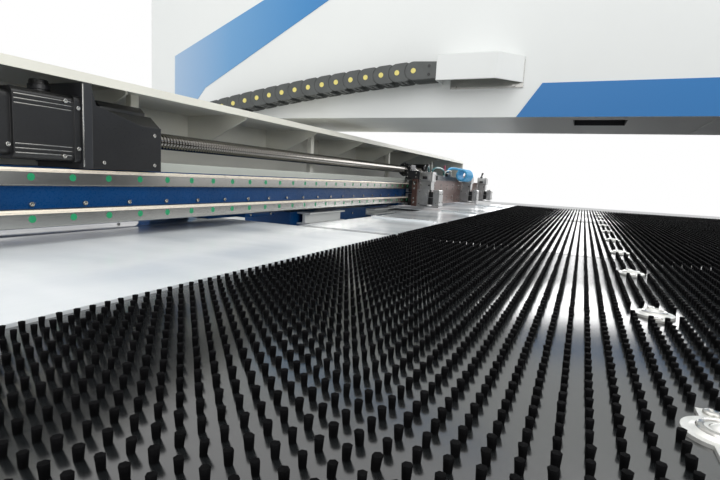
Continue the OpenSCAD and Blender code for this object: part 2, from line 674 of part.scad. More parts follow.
module coupling_housing() color("black") place() difference() {
    union() {
        along_x(housing_far, housing_near) polygon([[screw_y - 70, beam_top], [screw_y - 70, screw_z + 50],
            [housing_front - 34, screw_z + 50], [housing_front, screw_z + 22], [housing_front, beam_top]]);
        along_y(housing_front - 34, housing_front) polygon([[housing_far, beam_top], [housing_near, beam_top],
            [housing_near, screw_z + 84], [housing_near - 9, screw_z + 52], [housing_far + 52, screw_z + 24],
            [housing_far, screw_z + 24]]);
    }
    cyl_x(housing_far - 1, housing_far + 71, screw_y, screw_z, journal_r + fit);
    cyl_x(housing_far + 70, housing_near + 1, screw_y, screw_z, 34);
}
module x_end_bearing() color("black") place() difference() {
    along_x(end_bearing_x - 30, end_bearing_x + 30) polygon([[beam_y + 20, beam_top + strip_h],
        [beam_y - strip_d - slide_gap, beam_top + strip_h], [beam_y - strip_d - slide_gap, beam_top],
        [screw_y - 60, beam_top], [screw_y - 60, screw_z + 44], [beam_y + 20, screw_z + 44]]);
    cyl_x(end_bearing_x - 31, end_bearing_x + 31, screw_y, screw_z, journal_r + fit);
}
function thread_points(x0, x1) = let (n = floor((x1 - x0) / screw_pitch)) concat([[0, x0], [screw_r, x0]],
    [for (i = [0 : n - 1]) let (x = x0 + (i + 0.5) * screw_pitch)
        each [[screw_r, x - 3.2], [screw_r - 2.4, x - 1], [screw_r - 2.4, x + 1], [screw_r, x + 3.2]]],
    [[screw_r, x1], [0, x1]]);
module x_screw() color("silver") place() {
    translate([0, screw_y, screw_z]) rotate([0, 90, 0])
        rotate_extrude($fn = 32) polygon(thread_points(end_bearing_x + 36, housing_far - 4));
    cyl_x(end_bearing_x - 25, end_bearing_x + 37, screw_y, screw_z, journal_r);
    cyl_x(housing_far - 5, housing_near + 55, screw_y, screw_z, journal_r);
    cyl_x(housing_far + 84, housing_near - 6, screw_y, screw_z, 31);
}

// Carriage
module carriage_plate() color("saddlebrown") place()
    box(-carriage_near - carriage_l, -carriage_near, block_face, plate_face, carry_z, beam_top + strip_h);
module x_blocks() color("dimgray") place() for (z = [rail_top_z, rail_low_z],
        x = [-carriage_near - 90, -carriage_near - carriage_l / 2, -carriage_near - carriage_l + 90])
    along_x(x - 55, x + 55) translate([beam_y, z]) rotate(-90) block_section(rail_pitch - 6, block_h, rail_w, rail_h);
nut_x = -carriage_near - 90;
module x_nut() color("dimgray") place() difference() {
    union() {
        box(nut_x - 132, -carriage_near - 12, screw_y + 34, plate_face, manifold_z, manifold_z + 46);
        box(nut_x - 90, nut_x - 10, screw_y - 30, screw_y + 35, screw_z - 30, screw_z + 30);
        cyl_x(nut_x - 110, nut_x, screw_y, screw_z, 33);
    }
    cyl_x(nut_x - 133, nut_x + 1, screw_y, screw_z, screw_r + fit);
}

// Clamps
module clamp_base(x) difference() {
    along_x(x - clamp_w, x) polygon([[plate_face, carry_z - 2], [plate_face + base_d + slot_d + jaw_d, carry_z - 2],
        [plate_face + base_d + slot_d + jaw_d, carry_z - 2 + lower_jaw_t],
        [plate_face + base_d, carry_z - 2 + lower_jaw_t], [plate_face + base_d, clamp_top], [plate_face, clamp_top]]);
    box(x - clamp_w / 2 - 21, x - clamp_w / 2 + 21, plate_face + base_d - 39, plate_face + base_d + 1,
        pin_z - 27, clamp_top + 1);
    cyl_x(x - clamp_w - 1, x + 1, pin_y, pin_z, pin_d / 2 + 0.02);
}
module clamp_bases() color("darkgray") place() for (x = clamp_x) clamp_base(x);
module clamp_pins() color("silver") place() for (x = clamp_x)
    cyl_x(x - clamp_w + 4, x - 4, pin_y, pin_z, pin_d / 2);
module clamp_jaw(x) color("silver") place() difference() {
    union() {
        y0 = plate_face + base_d + slot_d;
        along_x(x - clamp_w, x) polygon([[y0, jaw_z], [y0 + jaw_d, jaw_z], [y0 + jaw_d, clamp_top - 4],
            [y0 + jaw_d - 4, clamp_top], [y0, clamp_top]]);
        box(x - clamp_w / 2 - 20, x - clamp_w / 2 + 20, pin_y, y0 + eps, pin_z - 17, pin_z + 17);
        cyl_x(x - clamp_w / 2 - 20, x - clamp_w / 2 + 20, pin_y, pin_z, 17);
    }
    cyl_x(x - clamp_w, x, pin_y, pin_z, pin_d / 2 + fit);
}
module clamp_jaw_1() clamp_jaw(clamp_x[0]);
module clamp_jaw_2() clamp_jaw(clamp_x[1]);
module clamp_jaw_3() clamp_jaw(clamp_x[2]);
module clamp_cylinders() color("darkgray") place() for (x = clamp_x) {
    box(x - clamp_w + 10, x - 10, plate_face + 12, plate_face + base_d + 10, clamp_top, clamp_top + 46);
    difference() {
        box(x - clamp_w + 4, x - 4, plate_face + 6, plate_face + base_d + 16, clamp_top + 46, clamp_top + 100);
        box(x - clamp_w + 14, x - 14, plate_face + base_d + 14, plate_face + base_d + 17, clamp_top + 58, clamp_top + 88);
    }
}
module clamp_sensors() color("black") place() for (x = clamp_x) {
    cyl_z(clamp_top + 100, clamp_top + 112, x - 24, plate_face + 34, 11);
    translate([x - 24, plate_face + 34, clamp_top + 110]) rotate([-12, 0, 0]) cylinder(h = 36, r = 6);
}
manifold_x = carriage_near + 240;
manifold_z = beam_top + strip_h;
manifold_h = 30;
module air_manifold() color("dimgray") place() {
    box(-manifold_x - 770, -manifold_x, plate_face - 4, block_face + 4, manifold_z, manifold_z + manifold_h);
    box(-manifold_x - 510, -manifold_x - 430, plate_face - 2, block_face + 2, manifold_z + manifold_h,
        manifold_z + manifold_h + 17);
    box(-manifold_x - 190, -manifold_x - 120, plate_face - 4, plate_face + 14, manifold_z + 2, manifold_z + manifold_h);
}

// Air hoses: round tubes swept along hand-set points
function unit(v) = v / norm(v);
function ring(p, t, r, n) = let (a = unit(cross(t, abs(t[2]) > 0.9 ? [1, 0, 0] : [0, 0, 1])), b = cross(a, t))
    [for (k = [0 : n - 1]) p + r * (cos(360 * k / n) * a + sin(360 * k / n) * b)];
module tube(pts, r, n = 8) {
    m = len(pts);
    rings = [for (i = [0 : m - 1]) let (t = unit(pts[min(i + 1, m - 1)] - pts[max(i - 1, 0)])) ring(pts[i], t, r, n)];
    polyhedron(points = [for (q = rings) each q], faces = concat(
        [[for (k = [0 : n - 1]) k]],
        [for (i = [0 : m - 2], k = [0 : n - 1]) let (l = (k + 1) % n)
            [i * n + k, (i + 1) * n + k, (i + 1) * n + l, i * n + l]],
        [[for (k = [n - 1 : -1 : 0]) (m - 1) * n + k]]));
}
valve_z = clamp_top + 100 + seat;
port_z = manifold_z + manifold_h + seat;
teal_route = [[-690, -1436, valve_z], [-690, -1436, valve_z + 12], [-696, -1437, valve_z + 24],
    [-712, -1440, valve_z + 32], [-740, -1446, valve_z + 35], [-775, -1453, valve_z + 34],
    [-810, -1460, valve_z + 30], [-842, -1467, valve_z + 23], [-866, -1473, valve_z + 13],
    [-880, -1477, valve_z + 1], [-885, -1478.7, port_z + 8], [-885, -1478.7, port_z]];
// The blue hose is wound into a coil between the manifold and the second clamp
coil_x = -1420;
coil_r = 36;
coil_pitch = 36;
coil_steps = 66;
blue_route = concat([[-1340, -1479, port_z + 17], [-1340, -1479, port_z + 32], [-1346, -1476, port_z + 48],
    [-1364, -1464, port_z + 58], [-1388, -1444, port_z + 59], [-1406, -1422, port_z + 56]],
    [for (k = [0 : coil_steps]) [coil_x - k * coil_pitch / 12, -1400 + coil_r * sin(30 * k),
        valve_z + 4 + coil_r * cos(30 * k)]],
    [[coil_x - coil_steps * coil_pitch / 12 - 14, -1416, valve_z - 32], [-1652, -1421, valve_z - 30],
    [-1674, -1421, valve_z - 28], [clamp_x[1] - 4 + seat, -1421, valve_z - 28]]);
module teal_hose() color("teal") place() tube(teal_route, 6);
module blue_hose() color("deepskyblue") place() tube(blue_route, 9);

// Cable chain: the pivots hang along a shallow curve, turn down and come back under it
bend_r = 100;
run_y0 = box_y0 - 83;
run_z0 = box_z + 35;
run_links = 15;
function run_angle(i) = 4.6 + 0.42 * i;
function run_point(i) = i == 0 ? [run_y0, run_z0]
    : run_point(i - 1) + link_pitch * [-cos(run_angle(i - 1)), -sin(run_angle(i - 1))];
turn_step = 2 * asin(link_pitch / 2 / bend_r);
function chain_angle(i) = i < run_links ? run_angle(i)
    : min(180, run_angle(run_links) + (i - run_links + 1) * turn_step);
function chain_point(i) = i == 0 ? [run_y0, run_z0]
    : chain_point(i - 1) + link_pitch * [-cos(chain_angle(i - 1)), -sin(chain_angle(i - 1))];
chain_links = 22;
// One side plate: hollowed round its own pivot, round at the next one, with relieved corners
module link_plate() difference() {
    union() {
        translate([-link_pitch, 0]) circle(link_h / 2);
        polygon([[-2, -link_h / 2 + 13], [-24, -link_h / 2], [-link_pitch, -link_h / 2],
            [-link_pitch, link_h / 2], [-24, link_h / 2], [-2, link_h / 2 - 13]]);
    }
    circle(link_h / 2 + 0.6);
}
// Drawn with its own pivot at the origin and the next pivot in front of it
module link() {
    for (x = [0, chain_w - link_t]) translate([x, 0, 0]) rotate([90, 0, 90]) linear_extrude(link_t) link_plate();
    for (z = [-link_h / 2 + 3, link_h / 2 - 8]) box(link_t - 1, chain_w - link_t + 1, -link_pitch - 4, -link_pitch + 22, z, z + 5);
}
module at_link(i) let (p = chain_point(i))
    translate([chain_x, p[0], p[1]]) rotate([chain_angle(i), 0, 0]) children();
module cable_chain() color("dimgray") place() {
    for (i = [0 : chain_links - 1]) at_link(i) link();
    // End piece that is screwed to the box
    for (x = [chain_x, chain_x + chain_w - link_t]) along_x(x, x + link_t) {
        translate([run_y0, run_z0]) circle(link_h / 2);
        translate([run_y0, run_z0 - link_h / 2 + 4]) square([box_y0 - 0.3 - run_y0, link_h - 8]);
    }
    box(chain_x + 1, chain_x + chain_w - 1, box_y0 - 6, box_y0 - 0.3, run_z0 - 27, run_z0 + 27);
}
module chain_plugs() color("khaki") place() for (i = [0 : chain_links - 1]) at_link(i) {
    cyl_x(chain_w, chain_w + 1.5, 0, 0, 8);
}
module chain_bracket() color("dimgray") place() {
    y0 = beam_y - beam_d - cover_t;
    end = chain_point(chain_links);
    box(chain_x, chain_x + chain_w, y0 - 6, y0, beam_top + 20, beam_top + 160);
    box(chain_x, chain_x + chain_w, end[0] + link_h / 2 + 0.4, y0 - 5, end[1] - link_h / 2 + 4,
        end[1] + link_h / 2 - 4);
}

frame();
side_stripes();
levelling_feet();
terminal_box();
box_plate();
hydraulic_cylinder();
ram_guide();
turret_bearings();
turret_motor();
centre_table();
centre_brushes();
centre_plates();
centre_ball_units();
y_bases();
y_rails();
y_motors();
y_bearings();
rear_cross_beam();
table_brackets();
x_beam();
beam_cover();
light_strip();
x_rails();
rail_caps();
x_motor();
x_motor_plate();
coupling_housing();
x_end_bearing();
chain_bracket();
wing_frames();
y_slides();
y_blocks();
wing_brushes();
wing_plates();
wing_ball_units();
cable_chain();
chain_plugs();
carriage_plate();
x_blocks();
x_nut();
clamp_bases();
clamp_pins();
clamp_cylinders();
clamp_sensors();
air_manifold();
teal_hose();
blue_hose();
clamp_jaw_1();
clamp_jaw_2();
clamp_jaw_3();
x_screw();
y_screw_near();
y_screw_far();
upper_turret();
punch_tools();
struck_punch();
lower_turret();
die_tools();
line_shaft();
ram();
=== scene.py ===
# Turret punch press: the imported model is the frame, and this script adds materials and finer pieces.
import json
import math

import bmesh
import bpy
import numpy as np
from mathutils import Matrix, Vector


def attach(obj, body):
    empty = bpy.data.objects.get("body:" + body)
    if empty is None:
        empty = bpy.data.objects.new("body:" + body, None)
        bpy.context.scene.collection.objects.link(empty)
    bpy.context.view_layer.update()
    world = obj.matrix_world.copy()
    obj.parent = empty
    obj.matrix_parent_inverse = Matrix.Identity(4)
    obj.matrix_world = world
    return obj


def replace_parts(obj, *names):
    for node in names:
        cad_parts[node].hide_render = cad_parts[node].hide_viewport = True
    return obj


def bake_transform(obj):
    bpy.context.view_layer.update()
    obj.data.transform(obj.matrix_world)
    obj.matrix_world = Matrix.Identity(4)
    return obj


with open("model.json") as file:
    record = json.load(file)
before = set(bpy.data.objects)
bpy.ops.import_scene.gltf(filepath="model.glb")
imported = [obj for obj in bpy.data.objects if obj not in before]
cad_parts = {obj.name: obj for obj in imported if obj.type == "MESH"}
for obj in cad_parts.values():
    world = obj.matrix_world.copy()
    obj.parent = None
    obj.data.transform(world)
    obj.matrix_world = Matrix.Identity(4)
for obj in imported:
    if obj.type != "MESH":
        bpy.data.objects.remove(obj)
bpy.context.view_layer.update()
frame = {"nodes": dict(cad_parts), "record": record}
NODES = frame["nodes"]
rng = np.random.default_rng(seed=7)

# Machine coordinates in millimetres (punch centre at x = y = 0, floor at z = 0) to the row frame in metres
SX, SY = 0.2015, 0.45


def P(x, y, z):
    return Vector((x / 1000 + SX, y / 1000 + SY, z / 1000))


# Camera, placed and turned to match the photograph
FOCAL_LENGTH, SENSOR_WIDTH = 24.035, 36
CAMERA_AT = P(2008, -600, 1070)
CAMERA_RIGHT = Vector((-0.42051, 0.90578, 0.05230))
CAMERA_UP = Vector((-0.09386, -0.10077, 0.99047))
CAMERA_BACK = Vector((0.90242, 0.41160, 0.12740))

cam_data = bpy.data.cameras.new("camera")
cam = bpy.data.objects.new("camera", cam_data)
bpy.context.scene.collection.objects.link(cam)
cam_data.lens = FOCAL_LENGTH
cam_data.sensor_width = SENSOR_WIDTH
cam_data.clip_start = 0.01
cam_data.clip_end = 100
placement = Matrix((CAMERA_RIGHT, CAMERA_UP, CAMERA_BACK)).transposed().to_4x4()
placement.translation = CAMERA_AT
cam.matrix_world = placement
bpy.context.scene.camera = cam


# Materials
def new_mat(name):
    mt = bpy.data.materials.new(name)
    mt.use_nodes = True
    nt = mt.node_tree
    return mt, nt, nt.nodes["Principled BSDF"]


def coords(nt, scale=(1, 1, 1)):
    """Object coordinates, scaled."""
    tc = nt.nodes.new("ShaderNodeTexCoord")
    mp = nt.nodes.new("ShaderNodeMapping")
    mp.inputs["Scale"].default_value = scale
    nt.links.new(tc.outputs["Object"], mp.inputs["Vector"])
    return mp.outputs["Vector"]


def noise(nt, vec, scale, detail=4, rough=0.6):
    n = nt.nodes.new("ShaderNodeTexNoise")
    n.inputs["Scale"].default_value = scale
    n.inputs["Detail"].default_value = detail
    n.inputs["Roughness"].default_value = rough
    nt.links.new(vec, n.inputs["Vector"])
    return n.outputs["Fac"]


def ramp(nt, fac, stops):
    """Colour ramp through (place, colour) stops."""
    r = nt.nodes.new("ShaderNodeValToRGB")
    el = r.color_ramp.elements
    while len(el) < len(stops):
        el.new(0.5)
    for e, (place, color) in zip(el, stops):
        e.position = place
        e.color = (*color, 1)
    nt.links.new(fac, r.inputs["Fac"])
    return r.outputs["Color"]


def fac_range(nt, fac, lo, hi, a=0.3, b=0.7):
    """Runs from lo to hi while fac runs from a to b."""
    mr = nt.nodes.new("ShaderNodeMapRange")
    mr.inputs["From Min"].default_value = a
    mr.inputs["From Max"].default_value = b
    mr.inputs["To Min"].default_value = lo
    mr.inputs["To Max"].default_value = hi
    nt.links.new(fac, mr.inputs["Value"])
    return mr.outputs["Result"]


def bump(nt, height, strength, distance, normal=None):
    b = nt.nodes.new("ShaderNodeBump")
    b.inputs["Strength"].default_value = strength
    b.inputs["Distance"].default_value = distance
    nt.links.new(height, b.inputs["Height"])
    if normal is not None:
        nt.links.new(normal, b.inputs["Normal"])
    return b.outputs["Normal"]


def rounded(nt, radius):
    bv = nt.nodes.new("ShaderNodeBevel")
    bv.samples = 4
    bv.inputs["Radius"].default_value = radius
    return bv.outputs["Normal"]


def srgb(*channels):
    """Colour of a picture, 0 to 255, as the linear one that a shader takes."""
    def linear(v):
        v /= 255
        return v / 12.92 if v <= 0.04045 else ((v + 0.055) / 1.055) ** 2.4
    return tuple(linear(v) for v in channels)


def vary(color, k):
    return tuple(max(0.0, min(1.0, v * k)) for v in color)


def surface(name, color, rough, metallic, scale, spread, bump_scale, bump_strength, bump_dist,
            stretch=(1, 1, 1), edge=0.0, spec=0.5, wear=0.0, rough_spread=0.08, ior=1.5):
    """Painted, moulded or machined surface: blotchy colour, uneven roughness and a fine bump."""
    mt, nt, bs = new_mat(name)
    v = coords(nt, stretch)
    big = noise(nt, v, scale, 5)
    fine = noise(nt, v, bump_scale, 3)
    col = ramp(nt, big, [(0.3, vary(color, 1 - spread)), (0.7, vary(color, 1 + spread))])
    if wear > 0:
        marks = noise(nt, coords(nt, [1.7 * s for s in stretch]), scale * 4, 8, 0.75)
        mix = nt.nodes.new("ShaderNodeMix")
        mix.data_type = "RGBA"
        nt.links.new(fac_range(nt, marks, 0, wear, 0.6, 0.78), mix.inputs[0])
        nt.links.new(col, mix.inputs[6])
        mix.inputs[7].default_value = (*vary(color, 0.45), 1)
        col = mix.outputs[2]
    nt.links.new(col, bs.inputs["Base Color"])
    roughness = fac_range(nt, fine, max(0.02, rough - rough_spread), rough + rough_spread)
    nt.links.new(roughness, bs.inputs["Roughness"])
    bs.inputs["Metallic"].default_value = metallic
    bs.inputs["Specular IOR Level"].default_value = spec
    bs.inputs["IOR"].default_value = ior
    base_normal = rounded(nt, edge) if edge else None
    nt.links.new(bump(nt, fine, bump_strength, bump_dist, base_normal), bs.inputs["Normal"])
    return mt


def film():
    """White sheet under a clear film: large soft wrinkles, fine ones near them, and cloudy patches."""
    mt, nt, bs = new_mat("plate_white")
    wide = noise(nt, coords(nt, (1.6, 0.7, 1)), 3.2, 3, 0.5)
    fine = noise(nt, coords(nt, (1, 2.2, 1)), 26, 4, 0.55)
    col = ramp(nt, wide, [(0.3, srgb(216, 222, 225)), (0.7, srgb(236, 239, 240))])
    nt.links.new(col, bs.inputs["Base Color"])
    nt.links.new(fac_range(nt, wide, 0.09, 0.24), bs.inputs["Roughness"])
    bs.inputs["Specular IOR Level"].default_value = 0.65
    soft = bump(nt, wide, 0.35, 0.004)
    nt.links.new(bump(nt, fine, 0.12, 0.0012, soft), bs.inputs["Normal"])
    return mt


def stripe_paint_and_glare():
    """Blue paint of the side stripes with painted glare: paler towards the loading side than over the table.
    """
    mt, nt, bs = new_mat("stripe_blue")
    axes = nt.nodes.new("ShaderNodeSeparateXYZ")
    nt.links.new(coords(nt), axes.inputs["Vector"])
    # Painted highlight: the colour pales towards the loading side, glare painted into the blue.
    along = fac_range(nt, axes.outputs["Y"], 0, 1, -1.95, -1)
    col = ramp(nt, along, [(0, srgb(158, 182, 208)), (0.35, srgb(104, 154, 198)),
                           (0.75, srgb(58, 128, 184)), (1, srgb(36, 112, 174))])
    nt.links.new(col, bs.inputs["Base Color"])
    fine = noise(nt, coords(nt), 300, 3)
    nt.links.new(fac_range(nt, fine, 0.3, 0.42), bs.inputs["Roughness"])
    nt.links.new(bump(nt, fine, 0.06, 0.0003), bs.inputs["Normal"])
    return mt


# Colour, roughness, metallic, scale and spread of the blotches, then scale, strength and distance of the bump
SURFACES = {
    "frame_white": (srgb(226, 228, 226), 0.42, 0, 2.5, 0.015, 260, 0.06, 0.0004,
                    {"edge": 0.004, "spec": 0.4}),
    "machine_blue": (srgb(6, 66, 120), 0.3, 0, 9, 0.12, 320, 0.06, 0.0003, {"edge": 0.002, "spec": 0.22}),
    "cover_cream": (srgb(236, 234, 222), 0.45, 0, 6, 0.03, 260, 0.06, 0.0004, {"edge": 0.0015}),
    "dark_grey": (srgb(40, 41, 44), 0.36, 0, 14, 0.15, 380, 0.1, 0.0003, {"edge": 0.0015, "wear": 0.15}),
    "black_paint": (srgb(24, 24, 25), 0.34, 0, 14, 0.2, 420, 0.12, 0.0003, {"edge": 0.0015, "wear": 0.1}),
    "bronze_paint": (srgb(96, 68, 60), 0.34, 0.15, 14, 0.12, 300, 0.1, 0.0003,
                     {"edge": 0.0015, "wear": 0.2}),
    "steel": ((0.47, 0.465, 0.44), 0.2, 1, 9, 0.05, 700, 0.015, 0.0001,
              {"stretch": (0.05, 1, 1), "edge": 0.0012, "rough_spread": 0.04}),
    "screw": ((0.27, 0.255, 0.235), 0.14, 1, 40, 0.08, 900, 0.03, 0.0001,
              {"stretch": (0.1, 1, 1), "rough_spread": 0.03}),
    "dark_steel": ((0.4, 0.4, 0.4), 0.36, 0.85, 24, 0.14, 500, 0.1, 0.0003, {"edge": 0.0012, "wear": 0.25}),
    "cast": ((0.3, 0.31, 0.32), 0.4, 0.85, 10, 0.12, 300, 0.2, 0.0004, {"edge": 0.0015}),
    # Brush bases as lit and shaded copies of one base: the near wing's is painted lighter and made glossier,
    # the centre and far ones painted darker and less glossy.
    "brush_base": (srgb(20, 22, 23), 0.19, 0, 20, 0.15, 240, 0.03, 0.0003,
                   {"spec": 1.0, "rough_spread": 0.02, "ior": 1.7}),
    "brush": ((0.003, 0.003, 0.0033), 0.75, 0, 160, 0.5, 1500, 0.5, 0.0006,
              {"stretch": (1, 1, 0.12), "spec": 0.03}),
    "cap_green": (srgb(24, 140, 92), 0.35, 0, 60, 0.12, 500, 0.1, 0.0002, {}),
    "chain_grey": (srgb(72, 75, 74), 0.42, 0, 25, 0.15, 420, 0.15, 0.0003, {"edge": 0.001}),
    "plug_cream": (srgb(222, 208, 120), 0.4, 0, 60, 0.08, 500, 0.1, 0.0002, {}),
    "strip_cream": (srgb(186, 190, 182), 0.4, 0, 10, 0.04, 300, 0.1, 0.0003, {"edge": 0.001}),
    "hose_teal": (srgb(20, 105, 105), 0.35, 0, 40, 0.15, 500, 0.1, 0.0002, {}),
    "hose_blue": (srgb(84, 176, 226), 0.25, 0, 40, 0.1, 500, 0.1, 0.0002, {"spec": 0.7}),
    "brush_base_centre_shaded": (srgb(9, 10, 11), 0.2, 0, 20, 0.15, 240, 0.03, 0.0003,
                          {"spec": 0.08, "rough_spread": 0.03}),
    "brush_base_far_shaded": (srgb(9, 10, 11), 0.2, 0, 20, 0.15, 240, 0.03, 0.0003,
                       {"spec": 0.12, "rough_spread": 0.03}),
    # Painted highlight: bright cream colour standing in for the light on the rails' ground edges
    "rail_edge_highlight": (srgb(244, 232, 214), 0.3, 0.35, 9, 0.03, 700, 0.015, 0.0001, {"stretch": (0.05, 1, 1)}),
    "zinc": ((0.66, 0.66, 0.63), 0.38, 0.55, 30, 0.05, 500, 0.06, 0.0002, {"edge": 0.0008}),
    "fitting_pink": (srgb(190, 90, 120), 0.35, 0, 60, 0.1, 500, 0.1, 0.0002, {}),
    "tube_white": (srgb(220, 220, 214), 0.3, 0, 60, 0.05, 500, 0.1, 0.0002, {}),
}
M = {name: surface(name, *values[:-1], **values[-1]) for name, values in SURFACES.items()}
M["plate_white"] = film()
M["stripe_blue"] = stripe_paint_and_glare()

slot_of = {s["node"]: s["material_slot"] for s in frame["record"]["subparts"]}
for name, ob in NODES.items():
    mt = M["zinc"] if name.endswith("ball_units") else M[slot_of[name]]
    ob.data.materials.clear()
    ob.data.materials.append(mt)


# Mesh building, in machine millimetres
SHARP_ANGLE = math.radians(25)


def add_object(name, me, mats, body, smooth):
    """Puts a mesh in the scene with its materials, riding on its body."""
    for mt in mats:
        me.materials.append(mt)
    me.polygons.foreach_set("use_smooth", [True] * len(me.polygons))
    me.set_sharp_from_angle(angle=math.radians(smooth))
    ob = bpy.data.objects.new(name, me)
    bpy.context.scene.collection.objects.link(ob)
    if body:
        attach(ob, body)
    return ob


def on_axis(axis, t, u, v):
    """The point at t along the axis, with u and v as its other two coordinates."""
    if axis == "x":
        return t, u, v
    if axis == "y":
        return u, t, v
    return u, v, t


def polar(c, r, degrees):
    """The point at radius r and an angle round the centre c."""
    t = math.radians(degrees)
    return c[0] + r * math.cos(t), c[1] + r * math.sin(t)


class Build:
    """Collects bevelled boxes, prisms, lathes and tubes into one piece.

    Axis names the direction of length, c holds the two other coordinates of the centre line, a and b are the
    ends, and mat is the place of the material in the piece's list.
    """

    def __init__(self, name, *mats):
        self.name = name
        self.mats = mats
        self.bm = bmesh.new()
        self.xf = None

    def p(self, x, y, z):
        return P(*self.xf(x, y, z)) if self.xf else P(x, y, z)

    def _close(self, faces, mat, bevel, seg=2):
        for f in faces:
            f.material_index = mat
        bmesh.ops.recalc_face_normals(self.bm, faces=faces)
        if bevel > 0:
            edges = dict.fromkeys(e for f in faces for e in f.edges)
            sharp = [e for e in edges if len(e.link_faces) == 2 and e.calc_face_angle(0) > SHARP_ANGLE]
            bmesh.ops.bevel(self.bm, geom=sharp, offset=bevel / 1000, segments=seg, profile=0.5,
                            affect="EDGES", clamp_overlap=True, material=mat)

    def box(self, x0, x1, y0, y1, z0, z1, mat=0, bevel=1.0, seg=2):
        vs = [self.bm.verts.new(self.p(x, y, z)) for x in (x0, x1) for y in (y0, y1) for z in (z0, z1)]
        corners = ((0, 1, 3, 2), (4, 6, 7, 5), (0, 4, 5, 1), (2, 3, 7, 6), (0, 2, 6, 4), (1, 5, 7, 3))
        self._close([self.bm.faces.new([vs[i] for i in q]) for q in corners], mat, bevel, seg)

    def prism(self, axis, pts, a, b, mat=0, bevel=0.0, seg=2):
        lo = [self.bm.verts.new(self.p(*on_axis(axis, a, *q))) for q in pts]
        hi = [self.bm.verts.new(self.p(*on_axis(axis, b, *q))) for q in pts]
        n = len(pts)
        fs = [self.bm.faces.new(lo), self.bm.faces.new(hi[::-1])]
        fs += [self.bm.faces.new((lo[i], lo[(i + 1) % n], hi[(i + 1) % n], hi[i])) for i in range(n)]
        self._close(fs, mat, bevel, seg)

    def lathe(self, axis, c, profile, seg=24, mat=0):
        """Turned form through (radius, place along the axis) pairs; a radius of 0 closes it."""
        def at(r, t, k):
            angle = 2 * math.pi * k / seg
            return self.p(*on_axis(axis, t, c[0] + r * math.cos(angle), c[1] + r * math.sin(angle)))

        rings = [[self.bm.verts.new(at(r, t, k)) for k in range(seg if r > 0 else 1)] for r, t in profile]
        fs = []
        for a, b in zip(rings, rings[1:]):
            for k in range(seg):
                l = (k + 1) % seg
                quad = [a[k % len(a)], a[l % len(a)], b[l % len(b)], b[k % len(b)]]
                quad = list(dict.fromkeys(quad))
                if len(quad) > 2:
                    fs.append(self.bm.faces.new(quad))
        self._close(fs, mat, 0)

    def cyl(self, axis, c, r, a, b, seg=24, mat=0, bevel=0.8):
        e = min(bevel, r * 0.4, abs(b - a) * 0.4)
        s = 1 if b > a else -1
        profile = [(0, a), (r - e, a), (r, a + s * e), (r, b - s * e), (r - e, b), (0, b)]
        self.lathe(axis, c, profile, seg, mat)

    def hexagon(self, axis, c, r, a, b, mat=0, bevel=0.6):
        self.prism(axis, [polar(c, r, 60 * k) for k in range(6)], a, b, mat, bevel)

    def socket_screw(self, axis, c, r, a, b, mat=0):
        """Screw head that stands from a to b, with its recess."""
        s = 1 if b > a else -1
        e = r * 0.14
        floor_at = b - s * r * 0.6
        profile = [(r, a), (r, b - s * e), (r - e, b), (r * 0.55, b), (r * 0.5, floor_at), (0, floor_at)]
        self.lathe(axis, c, profile, 18, mat)

    def tube(self, pts, r, seg=10, mat=0):
        """Round tube along the points, closed at both ends."""
        pts = [P(*p) for p in pts]
        n = len(pts)
        turns = [2 * math.pi * k / seg for k in range(seg)]
        rings = []
        a = None
        for i in range(n):
            t = (pts[min(i + 1, n - 1)] - pts[max(i - 1, 0)]).normalized()
            if a is None:
                a = t.cross(Vector((0, 0, 1)) if abs(t.z) < 0.9 else Vector((1, 0, 0))).normalized()
            else:
                a = (a - t * a.dot(t)).normalized()
            b = t.cross(a)
            ring = [pts[i] + r / 1000 * (math.cos(q) * a + math.sin(q) * b) for q in turns]
            rings.append([self.bm.verts.new(point) for point in ring])
        fs = []
        for a, b in zip(rings, rings[1:]):
            for k in range(seg):
                l = (k + 1) % seg
                fs.append(self.bm.faces.new((a[k], b[k], b[l], a[l])))
        fs.append(self.bm.faces.new(rings[0]))
        fs.append(self.bm.faces.new(rings[-1][::-1]))
        self._close(fs, mat, 0)

    def done(self, body, slot, smooth=35):
        me = bpy.data.meshes.new(self.name)
        self.bm.to_mesh(me)
        self.bm.free()
        return add_object(self.name, me, self.mats, body, smooth)


# Brush tufts and the panels they stand on
PITCH, TABLE_Z, TUFT_H, GAP = 18.0, 920.0, 9.0, 6.0
FRONT, REAR = -1084.0, 300.0
TURRET_Y = 400.0
TURRET_CUT, TUFT_CUT = 499.0, 503.0
BALL_Y, BALLS = -500.0, [1629 - 345 * i for i in range(12)]
BALL_R, EAR_X, EAR_Y = 30, 41, 11
TUFT_SIDES, TUFT_RINGS = 6, ((2.5, -1), (2.9, 5.0), (3.15, 8.9))
PANEL_LOW, PANEL_TOP = 898, 911
NEAR_EDGE, FAR_EDGE = 2067, -2067
NEAR_SEAM, CENTRE_SEAM, FAR_SEAM, OUTER_SEAM = 730, 182, -588, -1575


def tuft_template():
    """Points and faces of one tuft: rings of (radius, height), open below and closed by a low cone."""
    turns = [2 * math.pi * k / TUFT_SIDES for k in range(TUFT_SIDES)]
    verts = [(r * math.cos(t), r * math.sin(t), z) for r, z in TUFT_RINGS for t in turns]
    faces = []
    for i in range(len(TUFT_RINGS) - 1):
        low, high = i * TUFT_SIDES, (i + 1) * TUFT_SIDES
        for k in range(TUFT_SIDES):
            l = (k + 1) % TUFT_SIDES
            faces.append((low + k, low + l, high + l, high + k))
    verts.append((0, 0, TUFT_RINGS[-1][1] + 0.1))
    top = (len(TUFT_RINGS) - 1) * TUFT_SIDES
    faces += [(top + k, top + (k + 1) % TUFT_SIDES, len(verts) - 1) for k in range(TUFT_SIDES)]
    return np.array(verts), faces


